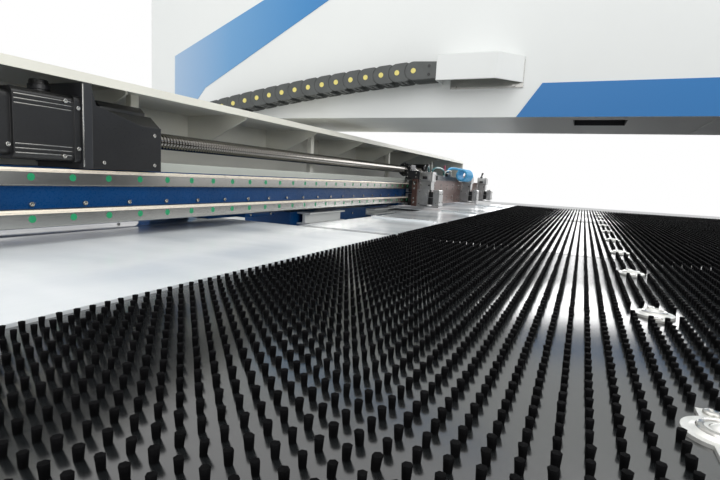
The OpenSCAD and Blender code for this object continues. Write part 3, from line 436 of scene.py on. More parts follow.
def tufts(name, x0, x1, body, round_turret=False):
    """Tufts between two seams, each turned, leant and sized a little differently, clear of the ball units."""
    template, template_faces = tuft_template()
    rows = int((REAR - FRONT) // PITCH)
    lanes = int((x1 - x0 - GAP) // PITCH)
    ys = FRONT + (REAR - FRONT - rows * PITCH) / 2 + (np.arange(rows) + 0.5) * PITCH
    xs = x0 + (x1 - x0 - lanes * PITCH) / 2 + (np.arange(lanes) + 0.5) * PITCH
    X, Y = [a.ravel() for a in np.meshgrid(xs, ys)]
    keep = np.ones(len(X), bool)
    for b in BALLS:
        keep &= (np.hypot(X - b, Y - BALL_Y) > BALL_R) & ~((abs(X - b) < EAR_X) & (abs(Y - BALL_Y) < EAR_Y))
    if round_turret:
        keep &= np.hypot(X, Y - TURRET_Y) > TUFT_CUT
    X, Y = X[keep], Y[keep]
    count = len(X)
    ang = rng.uniform(0, 2 * math.pi, count)
    lean = rng.normal(0, 0.35, (count, 2))
    size = rng.uniform(0.93, 1.07, count)[:, None]
    height = rng.uniform(0.96, 1.0, count)[:, None]
    ca, sa = np.cos(ang)[:, None], np.sin(ang)[:, None]
    tx, ty, tz = template[:, 0], template[:, 1], template[:, 2]
    lean_by_height = np.clip(tz / TUFT_H, 0, 1) ** 1.5
    v = np.empty((count, len(template), 3))
    v[:, :, 0] = X[:, None] + size * (ca * tx - sa * ty) + lean[:, :1] * lean_by_height
    v[:, :, 1] = Y[:, None] + size * (sa * tx + ca * ty) + lean[:, 1:] * lean_by_height
    v[:, :, 2] = TABLE_Z - TUFT_H + np.minimum(tz * height, TUFT_H)
    v = v.reshape(-1, 3) / 1000 + np.array([SX, SY, 0])
    corners = np.concatenate([np.array(f) for f in template_faces])
    loops = (corners[None, :] + (np.arange(count) * len(template))[:, None]).ravel()
    totals = np.tile([len(f) for f in template_faces], count)
    starts = np.concatenate([[0], np.cumsum(totals)[:-1]])
    me = bpy.data.meshes.new(name)
    me.vertices.add(len(v))
    me.vertices.foreach_set("co", v.ravel())
    me.loops.add(len(loops))
    me.loops.foreach_set("vertex_index", loops.astype(np.int32))
    me.polygons.add(len(totals))
    me.polygons.foreach_set("loop_start", starts.astype(np.int32))
    me.polygons.foreach_set("use_smooth", np.tile([len(f) == 4 for f in template_faces], count))
    me.update(calc_edges=True)
    me.validate()
    me.materials.append(M["brush"])
    ob = bpy.data.objects.new(name, me)
    bpy.context.scene.collection.objects.link(ob)
    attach(ob, body)
    return ob


def panel_outline(x0, x1):
    """Plan of a base plate: a rectangle, cut to the turret's circle where it reaches it."""
    def rear_at(x):
        if abs(x) >= TURRET_CUT:
            return REAR
        return min(REAR, TURRET_Y - math.sqrt(TURRET_CUT * TURRET_CUT - x * x))

    across = np.linspace(TURRET_CUT - 0.5, 0.5 - TURRET_CUT, 90)
    xs = [x1] + [x for x in across if x0 < x < x1] + [x0]
    pts = [(x0, FRONT), (x1, FRONT)] + [(x, rear_at(x)) for x in xs]
    out = []
    for q in pts:
        if not out or abs(q[0] - out[-1][0]) + abs(q[1] - out[-1][1]) > 0.5:
            out.append(q)
    return out


def brush_base(name, x0, x1, body, mat, round_turret=False):
    b = Build(name, M[mat])
    x0, x1 = x0 + GAP / 2, x1 - GAP / 2
    if round_turret:
        b.prism("z", panel_outline(x0, x1), PANEL_LOW, PANEL_TOP)
    else:
        b.box(x0, x1, FRONT, REAR, PANEL_LOW, PANEL_TOP, 0, 0.6)
    return b.done(body, "brush")


near = tufts("tufts_near_wing", NEAR_SEAM, NEAR_EDGE, "beam")
tufts("tufts_far_wing_inner", OUTER_SEAM, FAR_SEAM, "beam")
tufts("tufts_far_wing_outer", FAR_EDGE, OUTER_SEAM, "beam")
centre = tufts("tufts_centre_near", CENTRE_SEAM, NEAR_SEAM, "base", True)
tufts("tufts_centre_far", FAR_SEAM, CENTRE_SEAM, "base", True)
# The three base materials are lit and shaded copies of one base: the near wing's painted lighter, the others
# darker.
brush_base("base_near_wing", NEAR_SEAM, NEAR_EDGE, "beam", "brush_base")
brush_base("base_far_wing_inner", OUTER_SEAM, FAR_SEAM, "beam", "brush_base_far_shaded")
brush_base("base_far_wing_outer", FAR_EDGE, OUTER_SEAM, "beam", "brush_base_far_shaded")
brush_base("base_centre_near", CENTRE_SEAM, NEAR_SEAM, "base", "brush_base_centre_shaded", True)
brush_base("base_centre_far", FAR_SEAM, CENTRE_SEAM, "base", "brush_base_far_shaded", True)
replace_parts(near, "wing_brushes")
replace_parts(centre, "centre_brushes")

# Cable chain: a straight run from the frame's bracket, then a bend down to the beam
CHAIN_X, CHAIN_W, LINK, LINK_H, CHEEK = 268.0, 80.0, 61.5, 64.0, 6.0
RUN_Y, RUN_Z, RUN_LINKS, LINKS, BEND_R, BRACKET_Y = -1186.0, 1454.0, 15, 22, 100.0, -1103.0
RUN_TILT, RUN_SAG = 4.6, 0.42
BEND_STEP = math.degrees(2 * math.asin(LINK / 2 / BEND_R))


def chain_angle(i):
    if i < RUN_LINKS:
        return RUN_TILT + RUN_SAG * i
    return min(180.0, RUN_TILT + RUN_SAG * RUN_LINKS + (i - RUN_LINKS + 1) * BEND_STEP)


chain_pts = [(RUN_Y, RUN_Z)]
for i in range(LINKS):
    a = math.radians(chain_angle(i))
    chain_pts.append((chain_pts[-1][0] - LINK * math.cos(a), chain_pts[-1][1] - LINK * math.sin(a)))


def link_frame(i):
    """Turns coordinates of link i into those of the machine."""
    angle = math.radians(chain_angle(i))
    c, s, (py, pz) = math.cos(angle), math.sin(angle), chain_pts[i]
    return lambda x, y, z: (CHAIN_X + x, py + y * c - z * s, pz + y * s + z * c)


def link_outline():
    """Side plate: hollowed round its own pivot, round at the next one, with relieved corners."""
    h = LINK_H / 2
    reach = h + 0.6
    hollow = []
    for k in range(-8, 9):
        t = math.radians(k * 8.2)
        hollow.append((-reach * math.cos(t), reach * math.sin(t)))
    hollow = [q for q in hollow if abs(q[1]) < h - 5]
    end = []
    for k in range(15):
        t = math.radians(180 / 14 * k)
        end.append((-LINK - h * math.sin(t), h * math.cos(t)))
    return hollow + [(-16, h - 4), (-25, h)] + end + [(-25, -h), (-16, 4 - h)]


LINK_PLATE = link_outline()
NEAR_PLUG = [(9.2, CHAIN_W - 2), (9.2, CHAIN_W + 0.7), (8.6, CHAIN_W + 1.3), (0, CHAIN_W + 1.45)]
FAR_PLUG = [(9.2, 2), (9.2, -0.2), (8.6, -0.3), (0, -0.4)]
chain = Build("chain_links", M["chain_grey"], M["black_paint"])
plugs = Build("chain_plug_discs", M["plug_cream"], M["black_paint"])
for i in range(LINKS):
    chain.xf = plugs.xf = link_frame(i)
    for x in (0, CHAIN_W - CHEEK):
        chain.prism("x", LINK_PLATE, x, x + CHEEK, 0, 0.9, 1)
    # thinner inner cheek round the pivot, seen through the hollow of the next plate
    for x in (1.5, CHAIN_W - CHEEK + 0.5):
        chain.cyl("x", (0, 0), LINK_H / 2 - 5, x, x + CHEEK - 2, 28, 1, 0.6)
    # cross bars above and below, and the ribs between them
    for z in (-LINK_H / 2 + 2, LINK_H / 2 - 7):
        for y0, y1 in ((-LINK - 5, -LINK + 8), (-LINK + 14, -LINK + 26)):
            chain.box(CHEEK - 1, CHAIN_W - CHEEK + 1, y0, y1, z, z + 5, 0, 1.0, 1)
        for x in (20, 54):
            chain.box(x, x + 6, -LINK - 3, -LINK + 24, z + 0.6, z + 4.4, 0, 0.8, 1)
    plugs.lathe("x", (0, 0), NEAR_PLUG, 24)
    plugs.lathe("x", (0, 0), FAR_PLUG, 20)
chain.xf = plugs.xf = None
# end piece that is screwed to the bracket
END_Y = BRACKET_Y - 0.5
end_plate = [polar((RUN_Y, RUN_Z), 32, 90 + 15 * k) for k in range(13)]
end_plate += [(END_Y, RUN_Z - 28), (END_Y, RUN_Z + 28)]
for x in (CHAIN_X, CHAIN_X + CHAIN_W - CHEEK):
    chain.prism("x", end_plate, x, x + CHEEK, 0, 0.9, 1)
chain.box(CHAIN_X + 1, CHAIN_X + CHAIN_W - 1, BRACKET_Y - 6, END_Y, RUN_Z - 27, RUN_Z + 27, 0, 0.8, 1)
for z in (RUN_Z - 14, RUN_Z + 14):
    chain.cyl("x", (BRACKET_Y - 26, z), 5.5, CHAIN_X + CHAIN_W, CHAIN_X + CHAIN_W + 0.9, 16, 1, 0.4)
chain_ob = chain.done(None, "chain_grey")
plug_ob = plugs.done(None, "plug_cream")
for ob in (chain_ob, plug_ob):
    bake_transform(ob)
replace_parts(chain_ob, "cable_chain")
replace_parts(plug_ob, "chain_plugs")

# Ball screw: a helical groove of constant lead, and its smooth ends
SCREW_Y, SCREW_Z = -1575.0, 1135.0
SCREW_AXIS = (SCREW_Y, SCREW_Z)
THREAD_FAR, THREAD_NEAR, LEAD, TURN_STEPS = -994.0, 1166.0, 10.0, 26
THREAD_PROFILE = ((20.0, 0.0), (20.0, 5.4), (17.4, 7.0), (17.4, 8.4))
CORE_R, JOURNAL_R = 17.4, 15
steps = int((THREAD_NEAR - THREAD_FAR) / LEAD * TURN_STEPS)
verts = []
for k in range(steps + 1):
    t = 2 * math.pi * (k % TURN_STEPS) / TURN_STEPS
    for r, offset in THREAD_PROFILE:
        x = min(THREAD_NEAR, max(THREAD_FAR, THREAD_FAR + LEAD * k / TURN_STEPS + offset))
        verts.append(P(x, SCREW_Y + r * math.cos(t), SCREW_Z + r * math.sin(t)))
faces = []
for k in range(steps):
    a, b = 4 * k, 4 * (k + 1)
    for j in range(3):
        faces.append((a + j, b + j, b + j + 1, a + j + 1))
    if k + TURN_STEPS <= steps - 1:
        c, d = 4 * (k + TURN_STEPS), 4 * (k + TURN_STEPS + 1)
        faces.append((a + 3, b + 3, d, c))
thread = bpy.data.meshes.new("x_screw_thread")
thread.from_pydata(verts, [], faces)
thread.update()
screw = add_object("x_screw_thread", thread, [M["screw"]], "x_screw", 40)
b = Build("x_screw_ends", M["steel"], M["dark_grey"])
b.cyl("x", SCREW_AXIS, JOURNAL_R, -1055, THREAD_FAR + 1, 32, 0, 1)
b.cyl("x", SCREW_AXIS, CORE_R, THREAD_FAR - 2, THREAD_FAR + 12, 32, 0, 0.6)
b.cyl("x", SCREW_AXIS, CORE_R, THREAD_NEAR - 12, THREAD_NEAR + 2, 32, 0, 0.6)
b.cyl("x", SCREW_AXIS, JOURNAL_R, THREAD_NEAR, 1398, 32, 0, 1)
b.cyl("x", SCREW_AXIS, 31, 1254, 1337, 36, 1, 2)
b.done("x_screw", "steel")
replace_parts(screw, "x_screw")

# X drive at the loading end of the beam
HOUSING_NEAR, HOUSING_FAR, HOUSING_FACE = 1343.0, 1170.0, -1505.0
b = Build("x_drive_details", M["steel"], M["black_paint"], M["dark_grey"])
for x, z, face in ((51, 1186, 63), (55, 1082, 63), (27, 1098, 65), (27, 1176, 65), (151, 1097, 56)):
    b.socket_screw("y", (HOUSING_NEAR + x, z), 4.2, SCREW_Y + face, SCREW_Y + face + 3.4)
b.socket_screw("y", (HOUSING_FAR + 20, 1141), 4.4, HOUSING_FACE, HOUSING_FACE + 3.4)
for x in (HOUSING_FAR + 20, HOUSING_NEAR - 24):
    b.socket_screw("y", (x, 1074), 4.0, HOUSING_FACE, HOUSING_FACE + 3)
for y in (-1523, -1628):
    for z in (1087, 1183):
        b.socket_screw("x", (y, z), 5, HOUSING_NEAR + 34, HOUSING_NEAR + 38)
# chamfered block behind the housing
block = [(-1640, 1172), (-1640, 1196), (-1628, 1206), (-1566, 1206), (-1552, 1194), (-1552, 1172)]
b.prism("x", block, HOUSING_FAR + 4, 1291, 1, 1.5)
# screw guard ring at the housing's mouth
guard = [(23, 0.5), (23, -3), (30, -3), (31, -2), (31, 0.5)]
b.lathe("x", SCREW_AXIS, [(r, HOUSING_FAR + x) for r, x in guard], 32, 2)
b.done("beam", "black_paint")

MOTOR_TOP, CONNECTOR_TOP, PLATE_HIGHLIGHT_X = SCREW_Z + 62.8, SCREW_Z + 87, HOUSING_NEAR + 17.6
b = Build("x_motor_details", M["black_paint"], M["steel"], M["dark_grey"])
connector = [(17, -16), (19, -15), (19, -6), (16, -5), (16, 3), (14.5, 4), (0, 4)]
for x in (HOUSING_NEAR + 60, HOUSING_NEAR + 165):
    b.lathe("z", (x, SCREW_Y), [(r, CONNECTOR_TOP + z) for r, z in connector], 28, 2)
for k in range(9):
    y = SCREW_Y - 44 + k * 11
    b.box(HOUSING_NEAR + 50, HOUSING_NEAR + 142, y, y + 3, MOTOR_TOP, MOTOR_TOP + 1.8, 0, 0.5, 1)
b.box(HOUSING_NEAR + 146, HOUSING_NEAR + 204, HOUSING_FACE - 16.2, HOUSING_FACE - 14.2, 1105, 1166, 2, 0.8)
for dy in (-46, 46):
    for dz in (-46, 46):
        b.socket_screw("x", (SCREW_Y + dy, SCREW_Z + dz), 4, HOUSING_NEAR + 205, HOUSING_NEAR + 208.5, 1)
# painted highlights: bright steel strips in the motor's six grooves and on the edge of the motor plate,
# standing in for the light the ridges and the edge catch
for side in (-1, 1):
    for k in range(3):
        z = SCREW_Z + side * (51 - 8 * k)
        b.box(HOUSING_NEAR + 37, HOUSING_NEAR + 142, SCREW_Y + 60.2, SCREW_Y + 62.4, z - 1.4, z + 1.0, 1, 0.5)
b.box(PLATE_HIGHLIGHT_X, PLATE_HIGHLIGHT_X + 2.8, HOUSING_FACE - 0.6, HOUSING_FACE + 0.5, 1064, 1224, 1, 0.4)
b.done("beam", "black_paint")

# Painted highlight on the upper edge of each X rail: a thin bright cream strip standing in for the light its
# ground edge catches
LOWER_RAIL_Z, UPPER_RAIL_Z = 963, 1041
b = Build("rail_edges", M["rail_edge_highlight"])
for z in (UPPER_RAIL_Z, LOWER_RAIL_Z):
    b.box(-2446, 1688, -1520.4, -1519.75, z + 9.2, z + 16.4, 0, 0.2)
b.done("beam", "steel")

# Dark joints of the plates beside the bar between the near wing and the centre table
b = Build("plate_joints", M["black_paint"])
for x in (728, 704):
    b.box(x - 2.2, x + 2.2, -1398, -1088, 912.9, 913.5, 0, 0.2)
b.done("base", "plate_white")

# Heads of the beam's own bolts between the two rails
BEAM_FACE, BEAM_BOLTS, BEAM_BOLT_PITCH = -1549, 36, 108.5
b = Build("beam_bolts", M["steel"], M["machine_blue"])
for k in range(BEAM_BOLTS):
    b.socket_screw("y", (1440 - BEAM_BOLT_PITCH * k, 988), 5, BEAM_FACE, BEAM_FACE + 4.5)
b.done("beam", "machine_blue")

# Carriage: the plate's screws, wipers, bumper, and the ball nut in its bracket
PLATE_FACE, CARRIAGE_NEAR = -1464.0, -630.0
CLAMPS, CLAMP_W = (-642.0, -1692.0, -2292.0), 80
PLATE_SCREWS, PLATE_SCREW_PITCH = 12, 155
NUT_X = -720.0
b = Build("carriage_details", M["steel"], M["dark_grey"], M["bronze_paint"], M["black_paint"])
for k in range(PLATE_SCREWS):
    x = CARRIAGE_NEAR - 40 - k * PLATE_SCREW_PITCH
    if any(c - 86 < x < c + 6 for c in CLAMPS):
        x += 100
    for rail_z in (LOWER_RAIL_Z, UPPER_RAIL_Z):
        for z in (rail_z - 12, rail_z + 12):
            b.socket_screw("y", (x, z), 5.5, PLATE_FACE, PLATE_FACE + 4.5)
for z in (LOWER_RAIL_Z, UPPER_RAIL_Z):
    b.box(CARRIAGE_NEAR - 35, CARRIAGE_NEAR - 12, -1519, -1495, z - 33, z + 33, 3, 2)
b.cyl("x", (-1479, 1062), 9, CARRIAGE_NEAR, CARRIAGE_NEAR + 16, 20, 3, 2)
b.socket_screw("x", (-1479, 1062), 4, CARRIAGE_NEAR + 16, CARRIAGE_NEAR + 19)
for z in (952, 1030):
    b.socket_screw("x", (-1479, z), 4.5, CARRIAGE_NEAR, CARRIAGE_NEAR + 3.5)
for x in (-664, -710, -790, -836):
    b.socket_screw("z", (x, -1496), 5, 1128, 1132.5)
for y in (-1530, -1478):
    for z in (1094, 1116):
        b.socket_screw("x", (y, z), 4, -642, -638.6)
flange = [(33, -1), (38, 0), (38, 11), (36, 13), (22, 13)]
b.lathe("x", SCREW_AXIS, [(r, NUT_X + x) for r, x in flange], 40, 1)
for k in range(6):
    b.socket_screw("x", polar(SCREW_AXIS, 29, 60 * k + 30), 3.4, NUT_X + 13, NUT_X + 16)
# grease line of the nut
b.tube([(-700, -1560, 1160), (-690, -1548, 1158), (-682, -1530, 1148), (-680, -1518, 1128)], 2.5, 8, 3)
b.done("carriage", "dark_grey")

# Clamps
PIN_AXIS, CYLINDER_TOP = (-1417, 997), 1125
SIDE_SCREW_Y = PLATE_FACE + 14
b = Build("clamp_details", M["steel"], M["dark_steel"], M["black_paint"], M["cap_green"], M["dark_grey"])
for c in CLAMPS:
    far = c - CLAMP_W
    # lower block: side screws, the pin's ends and a recessed strip
    for z in (945, 1012):
        b.socket_screw("x", (SIDE_SCREW_Y, z), 4.6, c, c + 4.0)
        b.socket_screw("x", (SIDE_SCREW_Y, z), 4.6, far, far - 4.0)
    b.cyl("x", PIN_AXIS, 10, c, c + 2.4, 24, 1, 1)
    b.cyl("x", PIN_AXIS, 10, far - 2.4, far, 24, 1, 1)
    b.cyl("x", PIN_AXIS, 4, c + 2.4, c + 4, 16, 0, 0.6)
    b.box(c, c + 2, -1446, -1404, 934, 938, 4, 0.6)
    # upper body: valve block, fittings and its screws
    b.box(c - 4, c + 3, -1454, -1388, 1074, 1122, 1, 1.5)
    for y in (-1448, -1394):
        for z in (1080, 1116):
            b.socket_screw("x", (y, z), 3.4, c + 3, c + 6)
    b.box(c + 3, c + 8, -1436, -1408, 1084, 1100, 2, 1.2)
    b.cyl("x", (-1446, 1050), 4.5, c - 10, c - 4, 16, 0, 1)
    b.cyl("x", (-1400, 1050), 4.5, c - 10, c - 4, 16, 2, 1)
    for y in (-1450, -1394):
        for x in (c - 14, c - 66):
            b.socket_screw("z", (x, y), 4.5, CYLINDER_TOP, CYLINDER_TOP + 4.5)
    b.hexagon("z", (c - 24, -1430), 12, CYLINDER_TOP, CYLINDER_TOP + 5, 1)
    # painted shade: a dark block filling the slot between the base and the jaw, where shade falls
    b.box(c - 74, c - 6, -1397.6, -1373, 941, 980, 2, 1)
    # lever on the sensor post, leaning towards the beam
    lever = [(c - 24, -1430, 1128), (c - 24, -1428, 1140), (c - 25, -1424, 1152), (c - 27, -1421, 1162)]
    b.tube(lever, 4.2, 12, 2)
    knob = [(0, 1159), (5.5, 1160), (7.5, 1164), (7.5, 1168), (5, 1171), (0, 1172)]
    b.lathe("z", (c - 27, -1421), knob, 18, 2)
b.done("carriage", "dark_steel")

# Clamp jaws
JAW_FACE, JAW_MIDDLE, JAW_TOP, TEETH, TOOTH_PITCH = -1335, -1352, 1025, 9, 8.6
for k, c in enumerate(CLAMPS):
    far = c - CLAMP_W
    b = Build(f"jaw_details_{k + 1}", M["steel"], M["dark_steel"], M["black_paint"])
    for z in (956, 1004):
        for x in (c - 14, c - 66):
            b.socket_screw("y", (x, z), 4.6, JAW_FACE, JAW_FACE + 3.8)
    for z in (950, 1010):
        b.socket_screw("x", (JAW_MIDDLE, z), 3.8, c, c + 3.2)
        b.socket_screw("x", (JAW_MIDDLE, z), 3.8, far, far - 3.2)
    # painted shade: a dark plate over the arm, where it passes the slot and shade falls, clear of the base
    # when the jaw is open
    b.box(c - 3, c + 0.8, -1393.6, -1371, 984, 1014, 2, 0.3)
    # serrated pad under the jaw's nose
    for n in range(TEETH):
        tooth = c - 78 + n * TOOTH_PITCH
        b.box(tooth, tooth + 5, -1366, -1338, 937.2, 938.2, 1, 0)
    for x in (c - 62, c - 18):
        b.socket_screw("z", (x, JAW_MIDDLE), 4, JAW_TOP, JAW_TOP + 3.2)
    b.done(f"jaw_{k + 1}", "dark_steel")

# Hoses: smooth tubes on the same lines as in the model, with their fittings
VALVE_Z, MANIFOLD_Z, MANIFOLD_TOP = 1125.3, 1082.0, 1112.0
PORT_Z = MANIFOLD_TOP + 0.3
PORT_Y = -1474
TEAL_FROM, TEAL_TO, BLUE_FROM = (-690, -1436), (-885, -1478.7), (-1340, -1479)
TEAL_ROUTE = [
    (*TEAL_FROM, VALVE_Z), (*TEAL_FROM, VALVE_Z + 12), (-696, -1437, VALVE_Z + 24),
    (-712, -1440, VALVE_Z + 32), (-740, -1446, VALVE_Z + 35), (-775, -1453, VALVE_Z + 34),
    (-810, -1460, VALVE_Z + 30), (-842, -1467, VALVE_Z + 23), (-866, -1473, VALVE_Z + 13),
    (-880, -1477, VALVE_Z + 1), (*TEAL_TO, PORT_Z + 8), (*TEAL_TO, PORT_Z)]
BLUE_ROUTE = [
    (*BLUE_FROM, PORT_Z + 17), (*BLUE_FROM, PORT_Z + 32), (-1346, -1476, PORT_Z + 48),
    (-1364, -1464, PORT_Z + 58), (-1388, -1444, PORT_Z + 59), (-1406, -1422, PORT_Z + 56)]
COIL_X, COIL_Y, COIL_Z, COIL_R, COIL_POINTS, POINT_TURN, POINT_STEP = -1420, -1400, VALVE_Z + 4, 36, 67, 30, 3
for k in range(COIL_POINTS):
    t = math.radians(POINT_TURN * k)
    BLUE_ROUTE.append((COIL_X - POINT_STEP * k, COIL_Y + COIL_R * math.sin(t), COIL_Z + COIL_R * math.cos(t)))
BLUE_ROUTE += [(-1632, -1416, VALVE_Z - 32), (-1652, -1421, VALVE_Z - 30), (-1674, -1421, VALVE_Z - 28),
               (-1695.7, -1421, VALVE_Z - 28)]


def smooth_path(pts, per):
    """Catmull-Rom points through the given ones, so many for each of them."""
    q = [np.array(p, float) for p in pts]
    q = [2 * q[0] - q[1]] + q + [2 * q[-1] - q[-2]]
    out = []
    for before, here, there, after in zip(q, q[1:], q[2:], q[3:]):
        for k in range(per):
            t = k / per
            first = there - before
            second = 2 * before - 5 * here + 4 * there - after
            third = 3 * here - before - 3 * there + after
            out.append(0.5 * (2 * here + first * t + second * t * t + third * t ** 3))
    out.append(q[-2])
    return [tuple(p) for p in out]


def hose(name, pts, r, mat, node):
    b = Build(name, M[mat])
    b.tube(smooth_path(pts, 4), r, 16)
    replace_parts(b.done("carriage", mat, 60), node)


hose("teal_hose_tube", TEAL_ROUTE, 6, "hose_teal", "teal_hose")
hose("blue_hose_coil", BLUE_ROUTE, 9, "hose_blue", "blue_hose")
b = Build("hose_fittings", M["steel"], M["dark_grey"], M["hose_teal"], M["hose_blue"], M["fitting_pink"],
          M["tube_white"])
for at, z in ((TEAL_FROM, CYLINDER_TOP), (TEAL_TO, MANIFOLD_TOP)):
    b.hexagon("z", at, 10, z, z + 7)
    b.cyl("z", at, 7.6, z + 7, z + 11, 20, 1, 1)
b.hexagon("z", BLUE_FROM, 14, MANIFOLD_TOP + 17, MANIFOLD_TOP + 25, 0, 1)
b.cyl("z", BLUE_FROM, 11.5, MANIFOLD_TOP + 25, MANIFOLD_TOP + 31, 24, 1, 1)
b.lathe("x", (-1421, VALVE_Z - 28), [(12, -1696), (12, -1688), (10.6, -1686), (9, -1686)], 24, 1)
for x in (-900, -960, -1110, -1180, -1250, -1450, -1520, -1600):
    b.socket_screw("z", (x, -1488), 4, MANIFOLD_TOP, MANIFOLD_TOP + 3.5)
    b.socket_screw("y", (x + 12, MANIFOLD_Z + 10), 3.6, PLATE_FACE - 4, PLATE_FACE - 0.8)
for x in (-1000, -1050):
    for z in (MANIFOLD_Z + 8, MANIFOLD_Z + 24):
        b.socket_screw("y", (x, z), 3.2, PLATE_FACE + 14, PLATE_FACE + 16.8)
# push-in fittings and a small valve on the manifold
for x in (-915, -935, -1010, -1040, -1215, -1235):
    b.hexagon("z", (x, PORT_Y), 6.5, MANIFOLD_TOP, MANIFOLD_TOP + 6)
    b.cyl("z", (x, PORT_Y), 5, MANIFOLD_TOP + 6, MANIFOLD_TOP + 14, 16, 2, 1)
b.box(-1290, -1264, -1493, -1479, MANIFOLD_TOP, MANIFOLD_TOP + 38, 1, 2)
b.cyl("z", (-1277, -1486), 6.5, MANIFOLD_TOP + 38, MANIFOLD_TOP + 74, 16, 4, 1.5)
b.hexagon("z", (-1424, -1476), 6.5, MANIFOLD_TOP, MANIFOLD_TOP + 8)
# thin tubes between them: white, teal, and the dark one from the first clamp; heights over the manifold
IN_PORT = 13
WHITE_TUBE = [(-1235, PORT_Y, IN_PORT), (-1240, -1470, 28), (-1262, -1464, 38), (-1320, -1460, 42),
              (-1385, -1464, 36), (-1418, -1472, 24), (-1424, -1476, 8)]
TEAL_TUBE = [(-935, PORT_Y, IN_PORT), (-940, -1470, 32), (-975, -1462, 46), (-1060, -1458, 48),
             (-1150, -1462, 40), (-1204, -1470, 28), (-1215, PORT_Y, IN_PORT)]
DARK_TUBE = [(-702, -1452, 14), (-706, -1454, 30), (-724, -1457, 44), (-764, -1462, 51), (-818, -1468, 48),
             (-868, -1474, 34), (-905, -1476, 18), (-915, PORT_Y, IN_PORT)]
THIN_TUBES = ((WHITE_TUBE, 5, 3.5, 12, 5), (TEAL_TUBE, 6, 6, 14, 2), (DARK_TUBE, 5, 4.5, 12, 1))
for route, per, r, seg, mat in THIN_TUBES:
    b.tube(smooth_path([(x, y, MANIFOLD_TOP + z) for x, y, z in route], per), r, seg, mat)
b.done("carriage", "steel")

# Screws of the brackets under the beam
b = Build("bracket_screws", M["steel"], M["dark_steel"], M["machine_blue"])
for z, xs in ((946, (130, 190, 250, 310, 364)), (938, (-530, -460, -390, -300))):
    for x in xs:
        b.socket_screw("z", (x, -1583), 5, z, z + 4)
for x in (-520, -100, 330):
    b.socket_screw("y", (x, 900), 6, -1612, -1607)
b.done("base", "steel")

# Far end plate of the screw cover, with its folded edges and screws
b = Build("cover_end_plate", M["cover_cream"], M["steel"])
b.box(-1902, -1899, -1800, -1506, 1084, 1243, 0, 0.8)
b.box(-1899, -1884, -1797, -1510, 1240, 1242.5, 0, 0.6)
b.box(-1899, -1884, -1800, -1798, 1084, 1240, 0, 0.6)
for y in (-1770, -1650, -1540):
    b.socket_screw("z", (-1891, y), 3.5, 1236.5, 1240, 1)
b.done("beam", "cover_cream")

# Hem of the film-covered plates under the beam, and the pads that the beam rests on
HEM_TOP = 912.6
b = Build("plate_hems", M["plate_white"], M["steel"])
for x0, x1 in ((736, 2064), (-2064, -594)):
    b.box(x0, x1, -1766, -1650.5, HEM_TOP - 3, HEM_TOP, 0, 0.6)
    for i in range(5):
        b.socket_screw("z", (x0 + 60 + i * (x1 - x0 - 120) / 4, -1740), 4, HEM_TOP, 915, 1)
b.done("beam", "plate_white")
b = Build("saddle_pads", M["machine_blue"], M["steel"])
for x0, x1 in ((612, 772), (-772, -612)):
    b.box(x0, x1, -1790, -1569, 926, 941.8, 0, 2)
    b.box(x0 + 30, x1 + 90, -1790, -1640, 921, 930, 0, 1.5)
    for x in (x0 + 25, x1 - 25):
        b.socket_screw("y", (x, 934), 4, -1569, -1565.5, 1)
b.done("beam", "machine_blue")

# Screws of the bars on the plates, sunk in their counterbores
COUNTERBORE = [(7.6, 916.2), (8.9, 916.3), (8.9, 920.1), (10.4, 920.15)]
for name, xs, body in (("bar_screws_centre", (182,), "base"), ("bar_screws_wing", (-612, -1575), "beam")):
    b = Build(name, M["steel"], M["dark_steel"])
    for x in xs:
        for y in (-1144, -1214):
            b.socket_screw("z", (x, y), 7.4, 916, 921)
            b.lathe("z", (x, y), COUNTERBORE, 24, 1)
    b.done(body, "steel")

# Lining of the slot in the upper beam's underside
b = Build("slot_lining", M["dark_grey"])
for walls in ((30.5, 31.5, -657.5, -492.5), (186.5, 187.5, -657.5, -492.5), (31, 187, -657.5, -656.5),
              (31, 187, -493.5, -492.5)):
    b.box(*walls, 1304.4, 1482, 0, 0)
b.box(31, 187, -657, -493, 1400, 1404, 0, 0)
b.done("base", "dark_grey")

# Ball units: screws and the rim of each dome
EAR_SCREW = [(5.6, 913.4), (5.6, 915.2), (4.4, 916.2), (1.6, 916.4), (1.3, 915.4), (0, 915.4)]
DOME_RIM = [(15.6, 916.2), (14.4, 917.6), (11.4, 918.0), (10.6, 917.2)]
for name, lo, hi, body in (("ball_screws_wing", NEAR_SEAM, NEAR_EDGE, "beam"),
                           ("ball_screws_wing_far", FAR_EDGE, FAR_SEAM, "beam"),
                           ("ball_screws_centre", FAR_SEAM, NEAR_SEAM, "base")):
    b = Build(name, M["steel"], M["dark_steel"])
    for x in BALLS:
        if lo + 60 < x < hi - 60:
            for dx in (-31, 31):
                b.lathe("z", (x + dx, BALL_Y), EAR_SCREW, 16)
            b.lathe("z", (x, BALL_Y), DOME_RIM, 32)
    b.done(body, "steel")

# Frame: cover plates on the columns with their screws, lifting bosses near the top edge, and foot bolts
FRAME_SIDE, FRAME_FRONT, FRAME_BACK = 258.0, -2550, 1650
b = Build("frame_details", M["frame_white"], M["steel"], M["dark_grey"])
BOSS = [(38, 0), (38, 8), (35, 11), (17, 11), (17, 1), (0, 1)]
for side in (1, -1):
    for y0, y1, z0, z1 in ((-2480, -1990, 300, 640), (1110, 1560, 420, 1120), (-1500, 800, 180, 520)):
        b.box(side * FRAME_SIDE, side * (FRAME_SIDE + 2.5), y0, y1, z0, z1)
        for y in (y0 + 18, (y0 + y1) / 2, y1 - 18):
            for z in (z0 + 18, z1 - 18):
                b.socket_screw("x", (y, z), 5, side * (FRAME_SIDE + 2.5), side * (FRAME_SIDE + 6), 1)
    for y in (-1700, 900):
        b.lathe("x", (y, 2020), [(r, side * (FRAME_SIDE + x)) for r, x in BOSS], 32, 2)
END_PLATES = ((FRAME_FRONT, -1, 1500, (440, 960, 1480)), (FRAME_BACK, 1, 1700, (440, 1060, 1680)))
